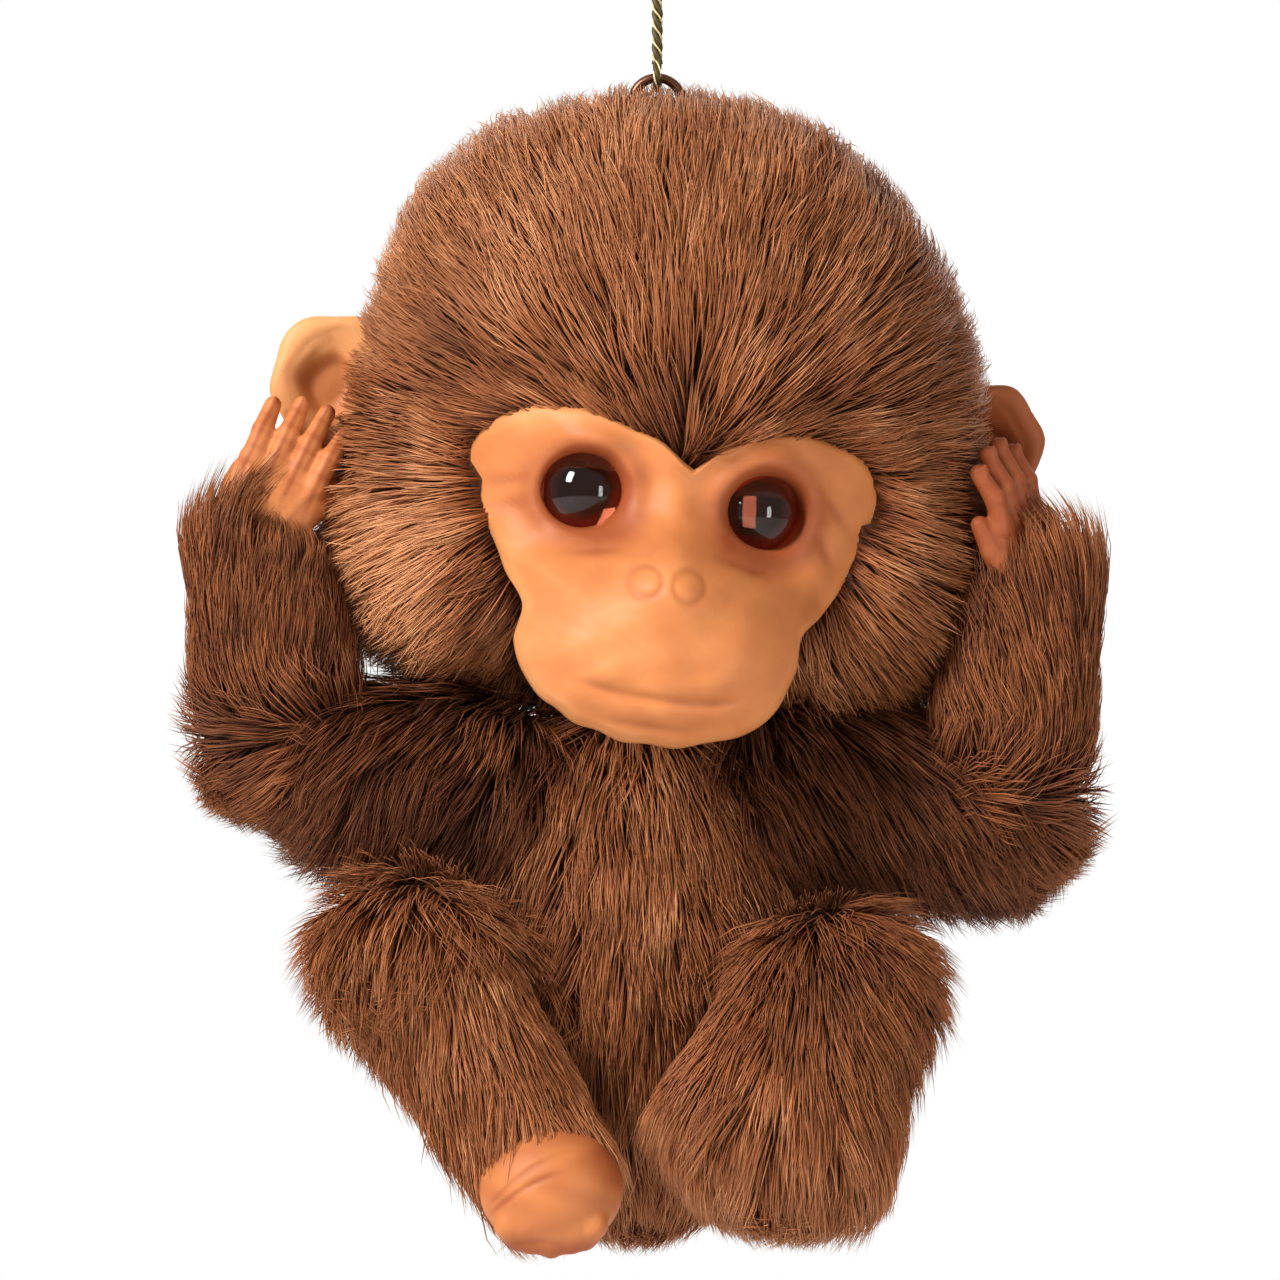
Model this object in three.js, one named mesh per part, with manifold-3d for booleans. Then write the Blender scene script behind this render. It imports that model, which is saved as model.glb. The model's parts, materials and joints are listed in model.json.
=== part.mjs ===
// Hanging plush monkey ornament with its hands held over its ears, on a twisted cord.
// Units are millimetres and +Z is up. The figure faces -Y, and its left and right are the
// viewer's. The origin is the inside top of the hanging loop, where a hook would bear.
import * as THREE from 'three';
import { mergeVertices } from 'three/addons/utils/BufferGeometryUtils.js';
import Module from 'manifold-3d';

const wasm = await Module();
wasm.setup();

// ---------------------------------------------------------------- driving dimensions
const GAP = 0.3; // air kept between neighbouring pieces
const RUN = 0.45; // air kept round a piece that moves
const CORD = 1.0; // cord diameter
const LOOP_HEIGHT = 17; // inside height of the hanging loop
const LOOP_HALF_WIDTH = 2.9;
const KNOT = [1.6, 1.5, 1.55]; // knot half sizes
const RING_Z = -30.1; // centre of the eye below the origin
const RING_RADIUS = 2.15; // centre line of the eye's wire
const RING_WIRE = 0.425;
const TIE_RADIUS = 1.15; // cord tie round the top of the eye
const TIE_CORD = 0.4;

const BALANCE = 2.5; // the figure's middle behind the eye, so that it hangs upright
const HEAD_CENTRE = [1, 0, -28]; // from the centre of the eye, like every place below, less BALANCE in Y
const HEAD_ROLL = 7; // degrees, the crown leans towards +X
const HEAD_YAW = 4; // degrees, the face turns towards +X
const HEAD_FUR = [25.8, 24.4, 27.0]; // half sizes of the furred head
const HEAD_FACE = [23.6, 22.4, 25.1]; // half sizes at the mask's outer face
const HEAD_CORE = [21.6, 20.4, 22.8]; // half sizes of the stuffed ball
const CHEEK = { centre: [14.2, -0.5, -11.5], radii: [10.6, 12.5, 11.2] }; // the fuller fur at each cheek
const MASK_WALL = 1.2;
const MUZZLE = { centre: [0, -17.5, -20], radii: [13.4, 12.3, 9.2] }; // in the head's frame
const NOSE = { centre: [0, -19, -13.5], radii: [6.0, 7.2, 7.0] };
const EYE_X = 7.9;
const EYE_Y = -17.3;
const EYE_Z = -7.0;
const EYE_SPLAY = 14; // degrees that each eye looks outwards
const EYE_RADIUS = 4.0;
const DOME = { edge: 0.4, height: 3.4, steps: 4 }; // the clear part of an eye
const IRIS = { back: 0.9, stemRadius: 1.1, stemLength: 6 };
const WASHER = { bore: 1.4, radius: 3.4, front: 3.3, back: 4 };
const EAR_MIDDLE = { left: [-29.6, 0, -1.0], right: [27.4, 0, 0.8] };
const EAR_CUP = [5.3, 2.9, 6.2];
const EAR_ROOT = { inward: 3.8, back: 0.2, down: 1.4, radii: [3.6, 2.3, 4.4] };
const EAR_HOLLOW = { outward: 0.4, front: 2.6, up: 0.3, radii: [4, 3, 4.7] };
// Half of the mask's outline seen from the front, from the brow's middle to the chin.
const MASK_HALF = [
  [0, -4.2], [3.2, -1.8], [7.8, -0.1], [12.2, 0], [16, -1.3], [18.4, -4.7], [17.4, -8.6], [15.8, -12],
  [14, -15], [12.2, -17.2], [12.5, -20.5], [11.1, -23.6], [7.6, -26.3], [3.2, -27.7], [0, -28],
];
const MASK_MIDDLE = -13; // the height that the outline is grown about
const MASK_BACK = -4; // the mask ends in front of this depth
const MASK_DEPTH = 40;

const TORSO_CENTRE = [-2, 1, -74];
const TORSO_FUR = [15.5, 13.5, 22.5];
const CORE_CENTRE = [-1.2, 2, -69];
const TORSO_CORE = [5.4, 6, 10.6];
const WIRE = 0.8; // armature wire radius
const PAST = 9; // how far the room for a wire runs past a limb's ends
const NECK = [[-1, 0.5, -57.5], [0, 0.5, -41]]; // the wire that joins the head to the torso
const SPINE = [[-1.2, 1.5, -78.5], [-1.2, 1.5, -61.8]];

// The joints of the armature, from the centre of the eye.
const SIDES = {
  left: {
    out: -1,
    shoulder: [-12.5, -1, -60.5],
    elbow: [-33.4, -6, -57.2],
    wrist: [-33.6, -8.2, -44],
    armRadius: 6.2,
    foreRadius: [6.9, 6.2],
    handTurn: [-9, 15, 0],
    hip: [-9, 0, -85],
    knee: [-22.4, -12.5, -75],
    ankle: [-11.5, -16, -90.5],
    legRadius: [7, 7.2, 6],
    foot: [-9.6, -20.5, -94.6],
    footRadius: [5.7, 5.6, 5.5],
  },
  right: {
    out: 1,
    shoulder: [9.5, -1, -60],
    elbow: [30.8, -5, -63.2],
    wrist: [32.6, -5.4, -47],
    armRadius: 6.2,
    foreRadius: [6.9, 6.0],
    handTurn: [9, 14, 62],
    hip: [8, 0, -85],
    knee: [16.6, -13.5, -79],
    ankle: [8.4, -15.5, -90],
    legRadius: [7.4, 8, 7.6],
    foot: [7.2, -8.8, -94.8],
    footRadius: [4.9, 5.4, 4.4],
  },
};
const TOE_REACH = 1.7; // how far the toes stand out of the foot
const HIP_SWEEP = [0, 20, 40]; // degrees that each leg lets down

const FINE = 24; // sides round a large form
const PLAIN = 16; // sides round a limb or an inner form
const ROUGH = 8; // sides round a small form, or the room cut for one

// ---------------------------------------------------------------- finishes
const finish = (color, roughness, metalness = 0, opacity = 1) =>
  new THREE.MeshStandardMaterial({ color, roughness, metalness, opacity, transparent: opacity < 1 });
const FINISH = {
  cord: () => finish(0x7d6a2c, 0.5, 0.3),
  copper: () => finish(0x7a4b33, 0.4, 0.9),
  steel: () => finish(0x8d8f92, 0.35, 0.9),
  wood: () => finish(0xb48a5a, 0.7),
  fur: () => finish(0x7a4a2f, 0.9),
  stuffing: () => finish(0xe6e0d4, 0.95),
  vinyl: () => finish(0xe6a064, 0.55),
  lens: () => finish(0x8c2a16, 0.05, 0, 0.5),
  iris: () => finish(0x5c1408, 0.4),
  washer: () => finish(0x2a2a2c, 0.5),
};

// ---------------------------------------------------------------- solids
const vector = (p) => new THREE.Vector3(...p);

/** The point a distance along the line from one point to another. */
const between = (from, to, distance) => {
  const start = vector(from);
  const way = vector(to).sub(start).normalize();
  return start.addScaledVector(way, distance).toArray();
};

/** A closed solid from a closed geometry. */
function solid(geometry) {
  const plain = geometry.index ? geometry.toNonIndexed() : geometry.clone();
  for (const name of Object.keys(plain.attributes)) {
    if (name !== 'position') plain.deleteAttribute(name);
  }
  const merged = mergeVertices(plain, 1e-4);
  return new wasm.Manifold(new wasm.Mesh({
    numProp: 3,
    vertProperties: new Float32Array(merged.attributes.position.array),
    triVerts: new Uint32Array(merged.index.array),
  }));
}

/** A mesh with its own name and finish from a solid. */
function piece(name, shape, finishName) {
  const mesh = shape.getMesh();
  const geometry = new THREE.BufferGeometry();
  geometry.setAttribute('position', new THREE.BufferAttribute(new Float32Array(mesh.vertProperties), 3));
  geometry.setIndex(new THREE.BufferAttribute(new Uint32Array(mesh.triVerts), 1));
  geometry.computeVertexNormals();
  const result = new THREE.Mesh(geometry, FINISH[finishName]());
  result.name = name;
  return result;
}

const moved = (shape, matrix) => shape.transform(matrix.elements);
const joined = (shapes) => shapes.reduce((sum, shape) => sum.add(shape));
/** The largest of a solid's bodies, without the slivers that a cut leaves. */
const largest = (shape) => shape.decompose().sort((a, b) => b.volume() - a.volume())[0];

function ellipsoid(centre, radii, round = PLAIN) {
  const geometry = new THREE.SphereGeometry(1, round, Math.round(round * 0.6));
  geometry.rotateX(Math.PI / 2);
  geometry.scale(...radii).translate(...centre);
  return solid(geometry);
}

/** The turn that takes +Y onto the line between two points, and the first point as its place. */
function along(from, to) {
  const way = vector(to).sub(vector(from));
  const turn = new THREE.Quaternion().setFromUnitVectors(new THREE.Vector3(0, 1, 0), way.clone().normalize());
  return { length: way.length(), matrix: new THREE.Matrix4().compose(vector(from), turn, vector([1, 1, 1])) };
}

function lathe(profile, from, to, round) {
  const points = profile.map(([r, h]) => new THREE.Vector2(r, h));
  const { matrix } = along(from, to);
  return solid(new THREE.LatheGeometry(points, round).applyMatrix4(matrix));
}

/** A straight rod. */
function rod(from, to, radius, round = 10) {
  const { length } = along(from, to);
  return lathe([[0, 0], [radius, 0], [radius, length], [0, length]], from, to, round);
}

/** The room for an armature wire, run past both ends. */
const bore = (from, to, past) => rod(between(from, to, -past), between(to, from, -past), WIRE + GAP, 8);

/** A limb with round ends, whose radius goes from one to the other. */
function limb(from, to, radiusFrom, radiusTo, round = PLAIN) {
  const { length } = along(from, to);
  const steps = Math.round(round / 4);
  const profile = [[0, -radiusFrom]];
  for (let i = 1; i <= steps; i += 1) {
    const angle = (i / steps) * Math.PI / 2;
    profile.push([radiusFrom * Math.sin(angle), -radiusFrom * Math.cos(angle)]);
  }
  for (let i = 0; i < steps; i += 1) {
    const angle = (i / steps) * Math.PI / 2;
    profile.push([radiusTo * Math.cos(angle), length + radiusTo * Math.sin(angle)]);
  }
  profile.push([0, length + radiusTo]);
  return lathe(profile, from, to, round);
}

function tube(points, radius, steps, sides = 8) {
  const section = new THREE.Shape();
  for (let i = 0; i < sides; i += 1) {
    const angle = (i / sides) * 2 * Math.PI;
    const put = i === 0 ? 'moveTo' : 'lineTo';
    section[put](radius * Math.cos(angle), radius * Math.sin(angle));
  }
  section.closePath();
  const extrudePath = new THREE.CatmullRomCurve3(points.map(vector));
  return solid(new THREE.ExtrudeGeometry(section, { steps, bevelEnabled: false, extrudePath }));
}

function torus(centre, major, minor, turn, round = 20, sides = 8) {
  const geometry = new THREE.TorusGeometry(major, minor, sides, round);
  geometry.rotateX(turn[0]).rotateY(turn[1]);
  return solid(geometry.translate(...centre));
}

/** The place and turn of the head, from the centre of the eye. */
const HEAD_FRAME = new THREE.Matrix4().compose(
  vector(HEAD_CENTRE),
  new THREE.Quaternion()
    .setFromAxisAngle(vector([0, 1, 0]), THREE.MathUtils.degToRad(HEAD_ROLL))
    .multiply(new THREE.Quaternion().setFromAxisAngle(vector([0, 0, 1]), THREE.MathUtils.degToRad(HEAD_YAW))),
  vector([1, 1, 1]),
);
const HEAD_INVERSE = HEAD_FRAME.clone().invert();
const grown = (radii, by) => radii.map((r) => r + by);

// ---------------------------------------------------------------- cord and eye
function cordPieces() {
  const knotZ = CORD / 2 - LOOP_HEIGHT - KNOT[2] - GAP;
  const loop = [
    [-0.62, 0, knotZ + KNOT[2] + GAP],
    [-1.5, 0, -LOOP_HEIGHT * 0.72],
    [-LOOP_HALF_WIDTH, 0, -LOOP_HEIGHT * 0.32],
    [-2.3, 0, -1.0],
    [0, 0, CORD / 2],
    [2.3, 0, -1.0],
    [LOOP_HALF_WIDTH, 0, -LOOP_HEIGHT * 0.32],
    [1.5, 0, -LOOP_HEIGHT * 0.72],
    [0.62, 0, knotZ + KNOT[2] + GAP],
  ];
  const cordTop = knotZ - KNOT[2] - GAP;
  const cordEnd = RING_Z + RING_RADIUS + TIE_RADIUS + TIE_CORD + GAP;
  const cord = [[0, 0, cordTop], [0, 0, (cordTop + cordEnd) / 2], [0, 0, cordEnd]];
  return [
    piece('hanging_loop', tube(loop, CORD / 2, 30), 'cord'),
    piece('loop_knot', ellipsoid([0, 0, knotZ], KNOT, 14), 'cord'),
    piece('hanging_cord', tube(cord, CORD / 2, 4), 'cord'),
    piece('cord_tie', torus([0, 0, RING_Z + RING_RADIUS], TIE_RADIUS, TIE_CORD, [0, Math.PI / 2]), 'cord'),
  ];
}

const PLUG = { radius: 3, top: -4.3, bottom: -14 };
const EYE_STEM = 9; // length of the stem below the eye

function eyeAndPlug() {
  const ring = torus([0, 0, 0], RING_RADIUS, RING_WIRE, [Math.PI / 2, 0]);
  const stem = rod([0, 0, -RING_RADIUS - EYE_STEM], [0, 0, -RING_RADIUS], RING_WIRE);
  const bore = RING_WIRE + GAP;
  const boreEnd = -RING_RADIUS - EYE_STEM - GAP - PLUG.bottom;
  const height = PLUG.top - PLUG.bottom;
  const outer = [[0, 0], [PLUG.radius, 0], [PLUG.radius, height]];
  const profile = [...outer, [bore, height], [bore, boreEnd], [0, boreEnd]];
  return [
    piece('screw_eye', ring.add(stem), 'copper'),
    piece('crown_plug', lathe(profile, [0, 0, PLUG.bottom], [0, 0, PLUG.top], 20), 'wood'),
  ];
}

// ---------------------------------------------------------------- head, in the head's own frame
/** The front of the head that the mask follows: brow, cheeks, muzzle and nose. */
function faceForm(outset) {
  const shapes = [
    ellipsoid([0, 0, 0], grown(HEAD_FACE, outset), FINE),
    ellipsoid(MUZZLE.centre, grown(MUZZLE.radii, outset), FINE),
    ellipsoid(NOSE.centre, grown(NOSE.radii, outset), PLAIN),
  ];
  return joined(shapes);
}

/** The mask's outline seen from the front, grown by a margin. */
function maskPrism(margin) {
  const mirrored = MASK_HALF.slice(1, -1).reverse().map(([x, z]) => [-x, z]);
  const ring = MASK_HALF.concat(mirrored).map(([x, z]) => {
    const grow = 1 + margin / Math.hypot(x, z - MASK_MIDDLE);
    return new THREE.Vector3(x * grow, MASK_MIDDLE + (z - MASK_MIDDLE) * grow, 0);
  });
  const outline = new THREE.CatmullRomCurve3(ring, true, 'centripetal');
  const shape = new THREE.Shape(outline.getPoints(32).slice(0, -1).map((p) => new THREE.Vector2(p.x, p.y)));
  const geometry = new THREE.ExtrudeGeometry(shape, { depth: MASK_DEPTH, bevelEnabled: false });
  return solid(geometry.rotateX(Math.PI / 2).translate(0, MASK_BACK, 0));
}

const eyeFrame = (side) => new THREE.Matrix4().compose(
  vector([side * EYE_X, EYE_Y, EYE_Z]),
  new THREE.Quaternion().setFromAxisAngle(vector([0, 0, 1]), THREE.MathUtils.degToRad(side * EYE_SPLAY)),
  vector([1, 1, 1]),
);

/** One eye: a clear dome, the iris disc with its stem, and the washer that locks it. */
function eyePieces(name, side) {
  const frame = eyeFrame(side);
  const dome = [[0, 0], [EYE_RADIUS, 0], [EYE_RADIUS, DOME.edge]];
  for (let i = 1; i < DOME.steps; i += 1) {
    const angle = (i / DOME.steps) * Math.PI / 2;
    dome.push([EYE_RADIUS * Math.cos(angle), DOME.edge + DOME.height * Math.sin(angle)]);
  }
  dome.push([0, DOME.edge + DOME.height]);
  const stem = [[0, -IRIS.stemLength], [IRIS.stemRadius, -IRIS.stemLength], [IRIS.stemRadius, -IRIS.back]];
  const iris = [...stem, [EYE_RADIUS, -IRIS.back], [EYE_RADIUS, -GAP], [0, -GAP]];
  const rim = [[WASHER.radius, -WASHER.back], [WASHER.radius, -WASHER.front]];
  const back = [WASHER.bore, -WASHER.back];
  const washer = [back, ...rim, [WASHER.bore, -WASHER.front], back];
  const turned = (profile) => moved(lathe(profile, [0, 0, 0], [0, -1, 0], 18), frame);
  return [
    piece(`eye_lens_${name}`, turned(dome), 'lens'),
    piece(`eye_iris_${name}`, turned(iris), 'iris'),
    piece(`eye_washer_${name}`, turned(washer), 'washer'),
  ];
}

/** The hole that an eye takes, from behind its washer to in front of its dome. */
const eyeRoom = (side) => {
  const ends = [[0, IRIS.stemLength + 2.5, 0], [0, -DOME.height - 2.6, 0]];
  return moved(rod(...ends, EYE_RADIUS + GAP, 18), eyeFrame(side));
};

/** A cupped vinyl ear with a root that goes in between the fur and the stuffed ball. */
function ear(name, outset = 0) {
  const [x, y, z] = EAR_MIDDLE[name];
  const out = Math.sign(x);
  const cup = ellipsoid([x, y, z], grown(EAR_CUP, outset), PLAIN);
  const rootAt = [x - out * EAR_ROOT.inward, y + EAR_ROOT.back, z - EAR_ROOT.down];
  const whole = cup.add(ellipsoid(rootAt, grown(EAR_ROOT.radii, outset), ROUGH));
  if (outset > 0) return whole;
  const hollowAt = [x + out * EAR_HOLLOW.outward, y - EAR_HOLLOW.front, z + EAR_HOLLOW.up];
  return whole.subtract(ellipsoid(hollowAt, EAR_HOLLOW.radii, ROUGH));
}

/** The furred head, fuller at the cheeks. */
function furForm(outset = 0) {
  const cheeks = [-1, 1].map((side) => {
    const [x, y, z] = CHEEK.centre;
    return ellipsoid([side * x, y, z], grown(CHEEK.radii, outset), PLAIN);
  });
  return joined([ellipsoid([0, 0, 0], grown(HEAD_FUR, outset), FINE), ...cheeks]);
}

function headPieces() {
  const inside = (shape) => moved(shape, HEAD_INVERSE);
  const plugRoom = inside(rod([0, -BALANCE, PLUG.bottom - GAP], [0, -BALANCE, 6], PLUG.radius + GAP, 20));
  const neckRoom = inside(bore(...NECK, 2));
  const eyes = joined([eyeRoom(-1), eyeRoom(1)]);

  let core = ellipsoid([0, 0, 0], HEAD_CORE, 20);
  core = core.subtract(plugRoom).subtract(neckRoom).subtract(eyes);

  const form = faceForm(0);
  const mask = form.subtract(faceForm(-MASK_WALL)).intersect(maskPrism(0)).subtract(eyes);

  const coreRoom = ellipsoid([0, 0, 0], grown(HEAD_CORE, GAP), 20);
  let fur = furForm().subtract(coreRoom);
  fur = fur.subtract(maskPrism(GAP)).subtract(plugRoom).subtract(neckRoom);
  fur = fur.subtract(ear('left', GAP)).subtract(ear('right', GAP));
  const half = (side) => fur.trimByPlane([side, 0, 0], GAP / 2);

  const head = new THREE.Group();
  HEAD_FRAME.decompose(head.position, head.quaternion, head.scale);
  head.add(
    piece('head_core', core, 'stuffing'),
    piece('face_mask', mask, 'vinyl'),
    piece('head_fur_left', half(-1), 'fur'),
    piece('head_fur_right', half(1), 'fur'),
    piece('ear_left', ear('left').subtract(coreRoom), 'vinyl'),
    piece('ear_right', ear('right').subtract(coreRoom), 'vinyl'),
    ...eyePieces('left', -1),
    ...eyePieces('right', 1),
  );
  return head;
}

/** The room that the head takes, from the centre of the eye. */
const headRoom = (outset) => moved(
  furForm(outset).add(ellipsoid(MUZZLE.centre, grown(MUZZLE.radii, outset))),
  HEAD_FRAME,
);

// ---------------------------------------------------------------- hands and feet
const HAND = {
  palm: { centre: [0, 0, 6.6], radii: [3.9, 1.8, 4.4] },
  wrist: { bottom: -2, top: 4, radii: [2.1, 2.6] },
  thumb: { root: [2.6, 0.5, 5.2], tip: [4.0, 0.9, 9.2], radii: [1.0, 0.85] },
  finger: { spacing: 1.75, knuckle: 8.6, reach: 14.6, spread: 1.12, curl: 0.5, radii: [1.0, 0.8] },
};
const WRIST_RISE = 3.4; // how far the hand starts above the end of the forearm
const TOE = { count: 5, fan: 0.42, out: 0.82, front: 0.72, drop: 0.6, radii: [1.15, 1.7, 1.5] };

/** A vinyl hand with four fingers and a thumb on its head side, wrist at the origin, fingers up. */
function handForm(out, outset = 0) {
  const { palm, wrist, thumb, finger } = HAND;
  const headSide = ([x, y, z]) => [-out * x, y, z];
  const shapes = [
    ellipsoid(palm.centre, grown(palm.radii, outset), ROUGH),
    limb([0, 0, wrist.bottom], [0, 0, wrist.top], ...grown(wrist.radii, outset), ROUGH),
    limb(headSide(thumb.root), headSide(thumb.tip), ...grown(thumb.radii, outset), ROUGH),
  ];
  for (let number = 0; number < 4; number += 1) {
    const across = (number - 1.5) * finger.spacing;
    const tip = [across * finger.spread, finger.curl, finger.reach - Math.abs(number - 1.6)];
    shapes.push(limb([across, 0, finger.knuckle], tip, ...grown(finger.radii, outset), ROUGH));
  }
  return joined(shapes);
}

/** A vinyl foot with five curled toes towards -Y, centred on the origin. */
function footForm([rx, ry, rz], outset = 0) {
  const shapes = [ellipsoid([0, 0, 0], grown([rx, ry, rz], outset), PLAIN)];
  for (let toe = 0; toe < TOE.count; toe += 1) {
    const angle = (toe - (TOE.count - 1) / 2) * TOE.fan;
    const height = rz * TOE.front * Math.cos(angle) - TOE.drop;
    const centre = [rx * TOE.out * Math.sin(angle), -ry * TOE.front, height];
    shapes.push(ellipsoid(centre, grown(TOE.radii, outset), ROUGH));
  }
  return joined(shapes);
}

// ---------------------------------------------------------------- limbs
/** The place and turn of a hand: degrees that it tips back, leans in, and turns about its length. */
function handFrame({ wrist, out, handTurn }) {
  const [back, inward, about] = handTurn.map(THREE.MathUtils.degToRad);
  return new THREE.Matrix4().compose(
    vector(wrist).add(new THREE.Vector3(0, 0, WRIST_RISE)),
    new THREE.Quaternion().setFromEuler(new THREE.Euler(back, -out * inward, about)),
    vector([1, 1, 1]),
  );
}

function armPieces(name, side) {
  const { shoulder, elbow, wrist, armRadius } = side;
  const fore = (outset) => limb(elbow, wrist, side.foreRadius[0] + outset, side.foreRadius[1] + outset);
  const hand = moved(handForm(side.out), handFrame(side));
  const handRoom = moved(handForm(side.out, GAP), handFrame(side));
  const wireEnd = between(wrist, elbow, 1.5);
  const foreWire = [between(elbow, wrist, 1), wireEnd];
  const armWire = [between(shoulder, elbow, 1), between(elbow, shoulder, 8)];
  const upper = limb(shoulder, elbow, armRadius, armRadius)
    .subtract(fore(RUN))
    .subtract(bore(shoulder, elbow, PAST));
  const lower = fore(0)
    .subtract(handRoom)
    .subtract(bore(elbow, wrist, PAST));
  return [
    piece(`upper_arm_fur_${name}`, upper, 'fur'),
    piece(`upper_arm_wire_${name}`, rod(...armWire, WIRE), 'steel'),
    piece(`forearm_fur_${name}`, lower, 'fur'),
    piece(`forearm_wire_${name}`, rod(...foreWire, WIRE), 'steel'),
    piece(`hand_${name}`, hand, 'vinyl'),
  ];
}

const legShapes = (side, outset, round) => {
  const { hip, knee, ankle, legRadius } = side;
  return {
    thigh: limb(hip, knee, legRadius[0] + outset, legRadius[1] + outset, round),
    shin: limb(knee, ankle, legRadius[1] + outset, legRadius[2] + outset, round),
    foot: ellipsoid(side.foot, grown(side.footRadius, outset), round),
  };
};

function legPieces(name, side) {
  const { hip, knee, ankle } = side;
  const { thigh, shin } = legShapes(side, 0, PLAIN);
  const foot = footForm(side.footRadius).translate(side.foot);
  const room = legShapes(side, GAP, PLAIN);
  room.foot = ellipsoid(side.foot, grown(side.footRadius, TOE_REACH + GAP), ROUGH);
  const thighWire = [between(hip, knee, 3), between(knee, hip, 2)];
  const hipBore = bore(hip, [0, hip[1], hip[2]], 3);
  const shinWire = [between(knee, ankle, 2), between(ankle, knee, 1)];
  const thighFur = thigh.subtract(joined([bore(hip, knee, PAST), bore(knee, ankle, 1), hipBore]));
  const shinFur = shin.subtract(joined([room.thigh, room.foot, bore(knee, ankle, PAST)]));
  return [
    piece(`thigh_fur_${name}`, thighFur, 'fur'),
    piece(`thigh_wire_${name}`, rod(...thighWire, WIRE), 'steel'),
    piece(`shin_fur_${name}`, largest(shinFur), 'fur'),
    piece(`shin_wire_${name}`, rod(...shinWire, WIRE), 'steel'),
    piece(`foot_${name}`, foot, 'vinyl'),
  ];
}

// ---------------------------------------------------------------- torso
/** All the room that a leg sweeps as it lets down at the hip. */
function legSweep(side) {
  const leg = joined(Object.values(legShapes(side, RUN + 0.6, 8)));
  const atHip = side.hip.map((value) => -value);
  return joined(HIP_SWEEP.map((angle) => leg.translate(atHip).rotate([angle, 0, 0]).translate(side.hip)));
}

function torsoPieces() {
  const { left, right } = SIDES;
  const ballRoom = left.armRadius + 2 * RUN; // the wire stops short of each turning shoulder
  const shoulderWire = [
    between(left.shoulder, right.shoulder, ballRoom),
    between(right.shoulder, left.shoulder, ballRoom),
  ];
  const hipWire = [between(left.hip, right.hip, 1.5), between(right.hip, left.hip, 1.5)];
  const room = joined([shoulderWire, hipWire, SPINE, NECK].map((ends) => bore(...ends, 3)));
  const limbs = joined([left, right].flatMap((side) => [
    limb(side.shoulder, side.elbow, side.armRadius + RUN, side.armRadius + RUN, PLAIN),
    legSweep(side),
  ]));
  const core = ellipsoid(CORE_CENTRE, TORSO_CORE, ROUGH).subtract(room);
  const lining = ellipsoid(CORE_CENTRE, grown(TORSO_CORE, GAP), ROUGH);
  const form = ellipsoid(TORSO_CENTRE, TORSO_FUR, FINE);
  const fur = [headRoom(GAP), limbs, room, lining].reduce((rest, cut) => rest.subtract(cut), form);
  const back = fur.trimByPlane([0, 1, 0], TORSO_CENTRE[1] + GAP / 2);
  const front = fur.trimByPlane([0, -1, 0], -TORSO_CENTRE[1] + GAP / 2);
  return [
    piece('torso_core', core, 'stuffing'),
    piece('torso_fur_front', front, 'fur'),
    piece('torso_fur_back', back, 'fur'),
    piece('shoulder_wire', rod(...shoulderWire, WIRE), 'steel'),
    piece('hip_wire', rod(...hipWire, WIRE), 'steel'),
    piece('spine_wire', rod(...SPINE, WIRE), 'steel'),
    piece('neck_wire', rod(...NECK, WIRE), 'steel'),
  ];
}

// ---------------------------------------------------------------- the ornament
const figure = new THREE.Group();
figure.position.y = BALANCE;
figure.add(headPieces(), ...torsoPieces());
for (const [name, side] of Object.entries(SIDES)) {
  figure.add(...armPieces(name, side), ...legPieces(name, side));
}

const monkey = new THREE.Group();
monkey.position.z = RING_Z;
monkey.add(...eyeAndPlug(), figure);

const ornament = new THREE.Group();
ornament.add(...cordPieces(), monkey);

export default ornament;
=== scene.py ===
"""Hanging plush monkey ornament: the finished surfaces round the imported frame.

Sizes in the classes are millimetres unless a comment says otherwise, and meshes are in metres.
The figure faces -Y. Left and right are the viewer's, and the head has a frame of its own.
"""
import json
import logging
import math
from dataclasses import dataclass, field
from enum import Enum
from typing import Callable, Sequence

import bpy
import numpy as np
from mathutils import Matrix, Vector, kdtree


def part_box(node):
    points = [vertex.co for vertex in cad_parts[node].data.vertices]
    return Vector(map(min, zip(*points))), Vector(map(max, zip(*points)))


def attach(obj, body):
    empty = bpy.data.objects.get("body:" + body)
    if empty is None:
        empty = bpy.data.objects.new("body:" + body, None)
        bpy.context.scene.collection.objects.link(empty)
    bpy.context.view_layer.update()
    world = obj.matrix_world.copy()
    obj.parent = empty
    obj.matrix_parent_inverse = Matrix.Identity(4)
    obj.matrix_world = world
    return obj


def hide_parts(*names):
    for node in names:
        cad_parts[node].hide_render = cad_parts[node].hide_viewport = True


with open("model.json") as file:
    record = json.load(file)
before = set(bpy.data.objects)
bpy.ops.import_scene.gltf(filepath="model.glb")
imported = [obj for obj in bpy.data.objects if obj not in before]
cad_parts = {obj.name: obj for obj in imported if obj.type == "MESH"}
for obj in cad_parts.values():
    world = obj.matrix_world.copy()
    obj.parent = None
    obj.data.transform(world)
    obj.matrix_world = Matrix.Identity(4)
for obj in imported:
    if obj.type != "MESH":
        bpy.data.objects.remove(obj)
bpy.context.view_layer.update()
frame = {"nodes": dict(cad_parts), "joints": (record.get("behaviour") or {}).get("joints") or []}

LOG = logging.getLogger("monkey")
MM = 0.001
JOINTS = {joint["name"]: joint for joint in frame["joints"]}
Colour = tuple[float, float, float, float]
Points = np.ndarray


class Side(Enum):
    """Which side of the figure a part is on, as the viewer sees it."""

    LEFT = "left"
    RIGHT = "right"

    @property
    def out(self) -> int:
        """-1 for the left and +1 for the right."""
        return -1 if self is Side.LEFT else 1


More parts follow.
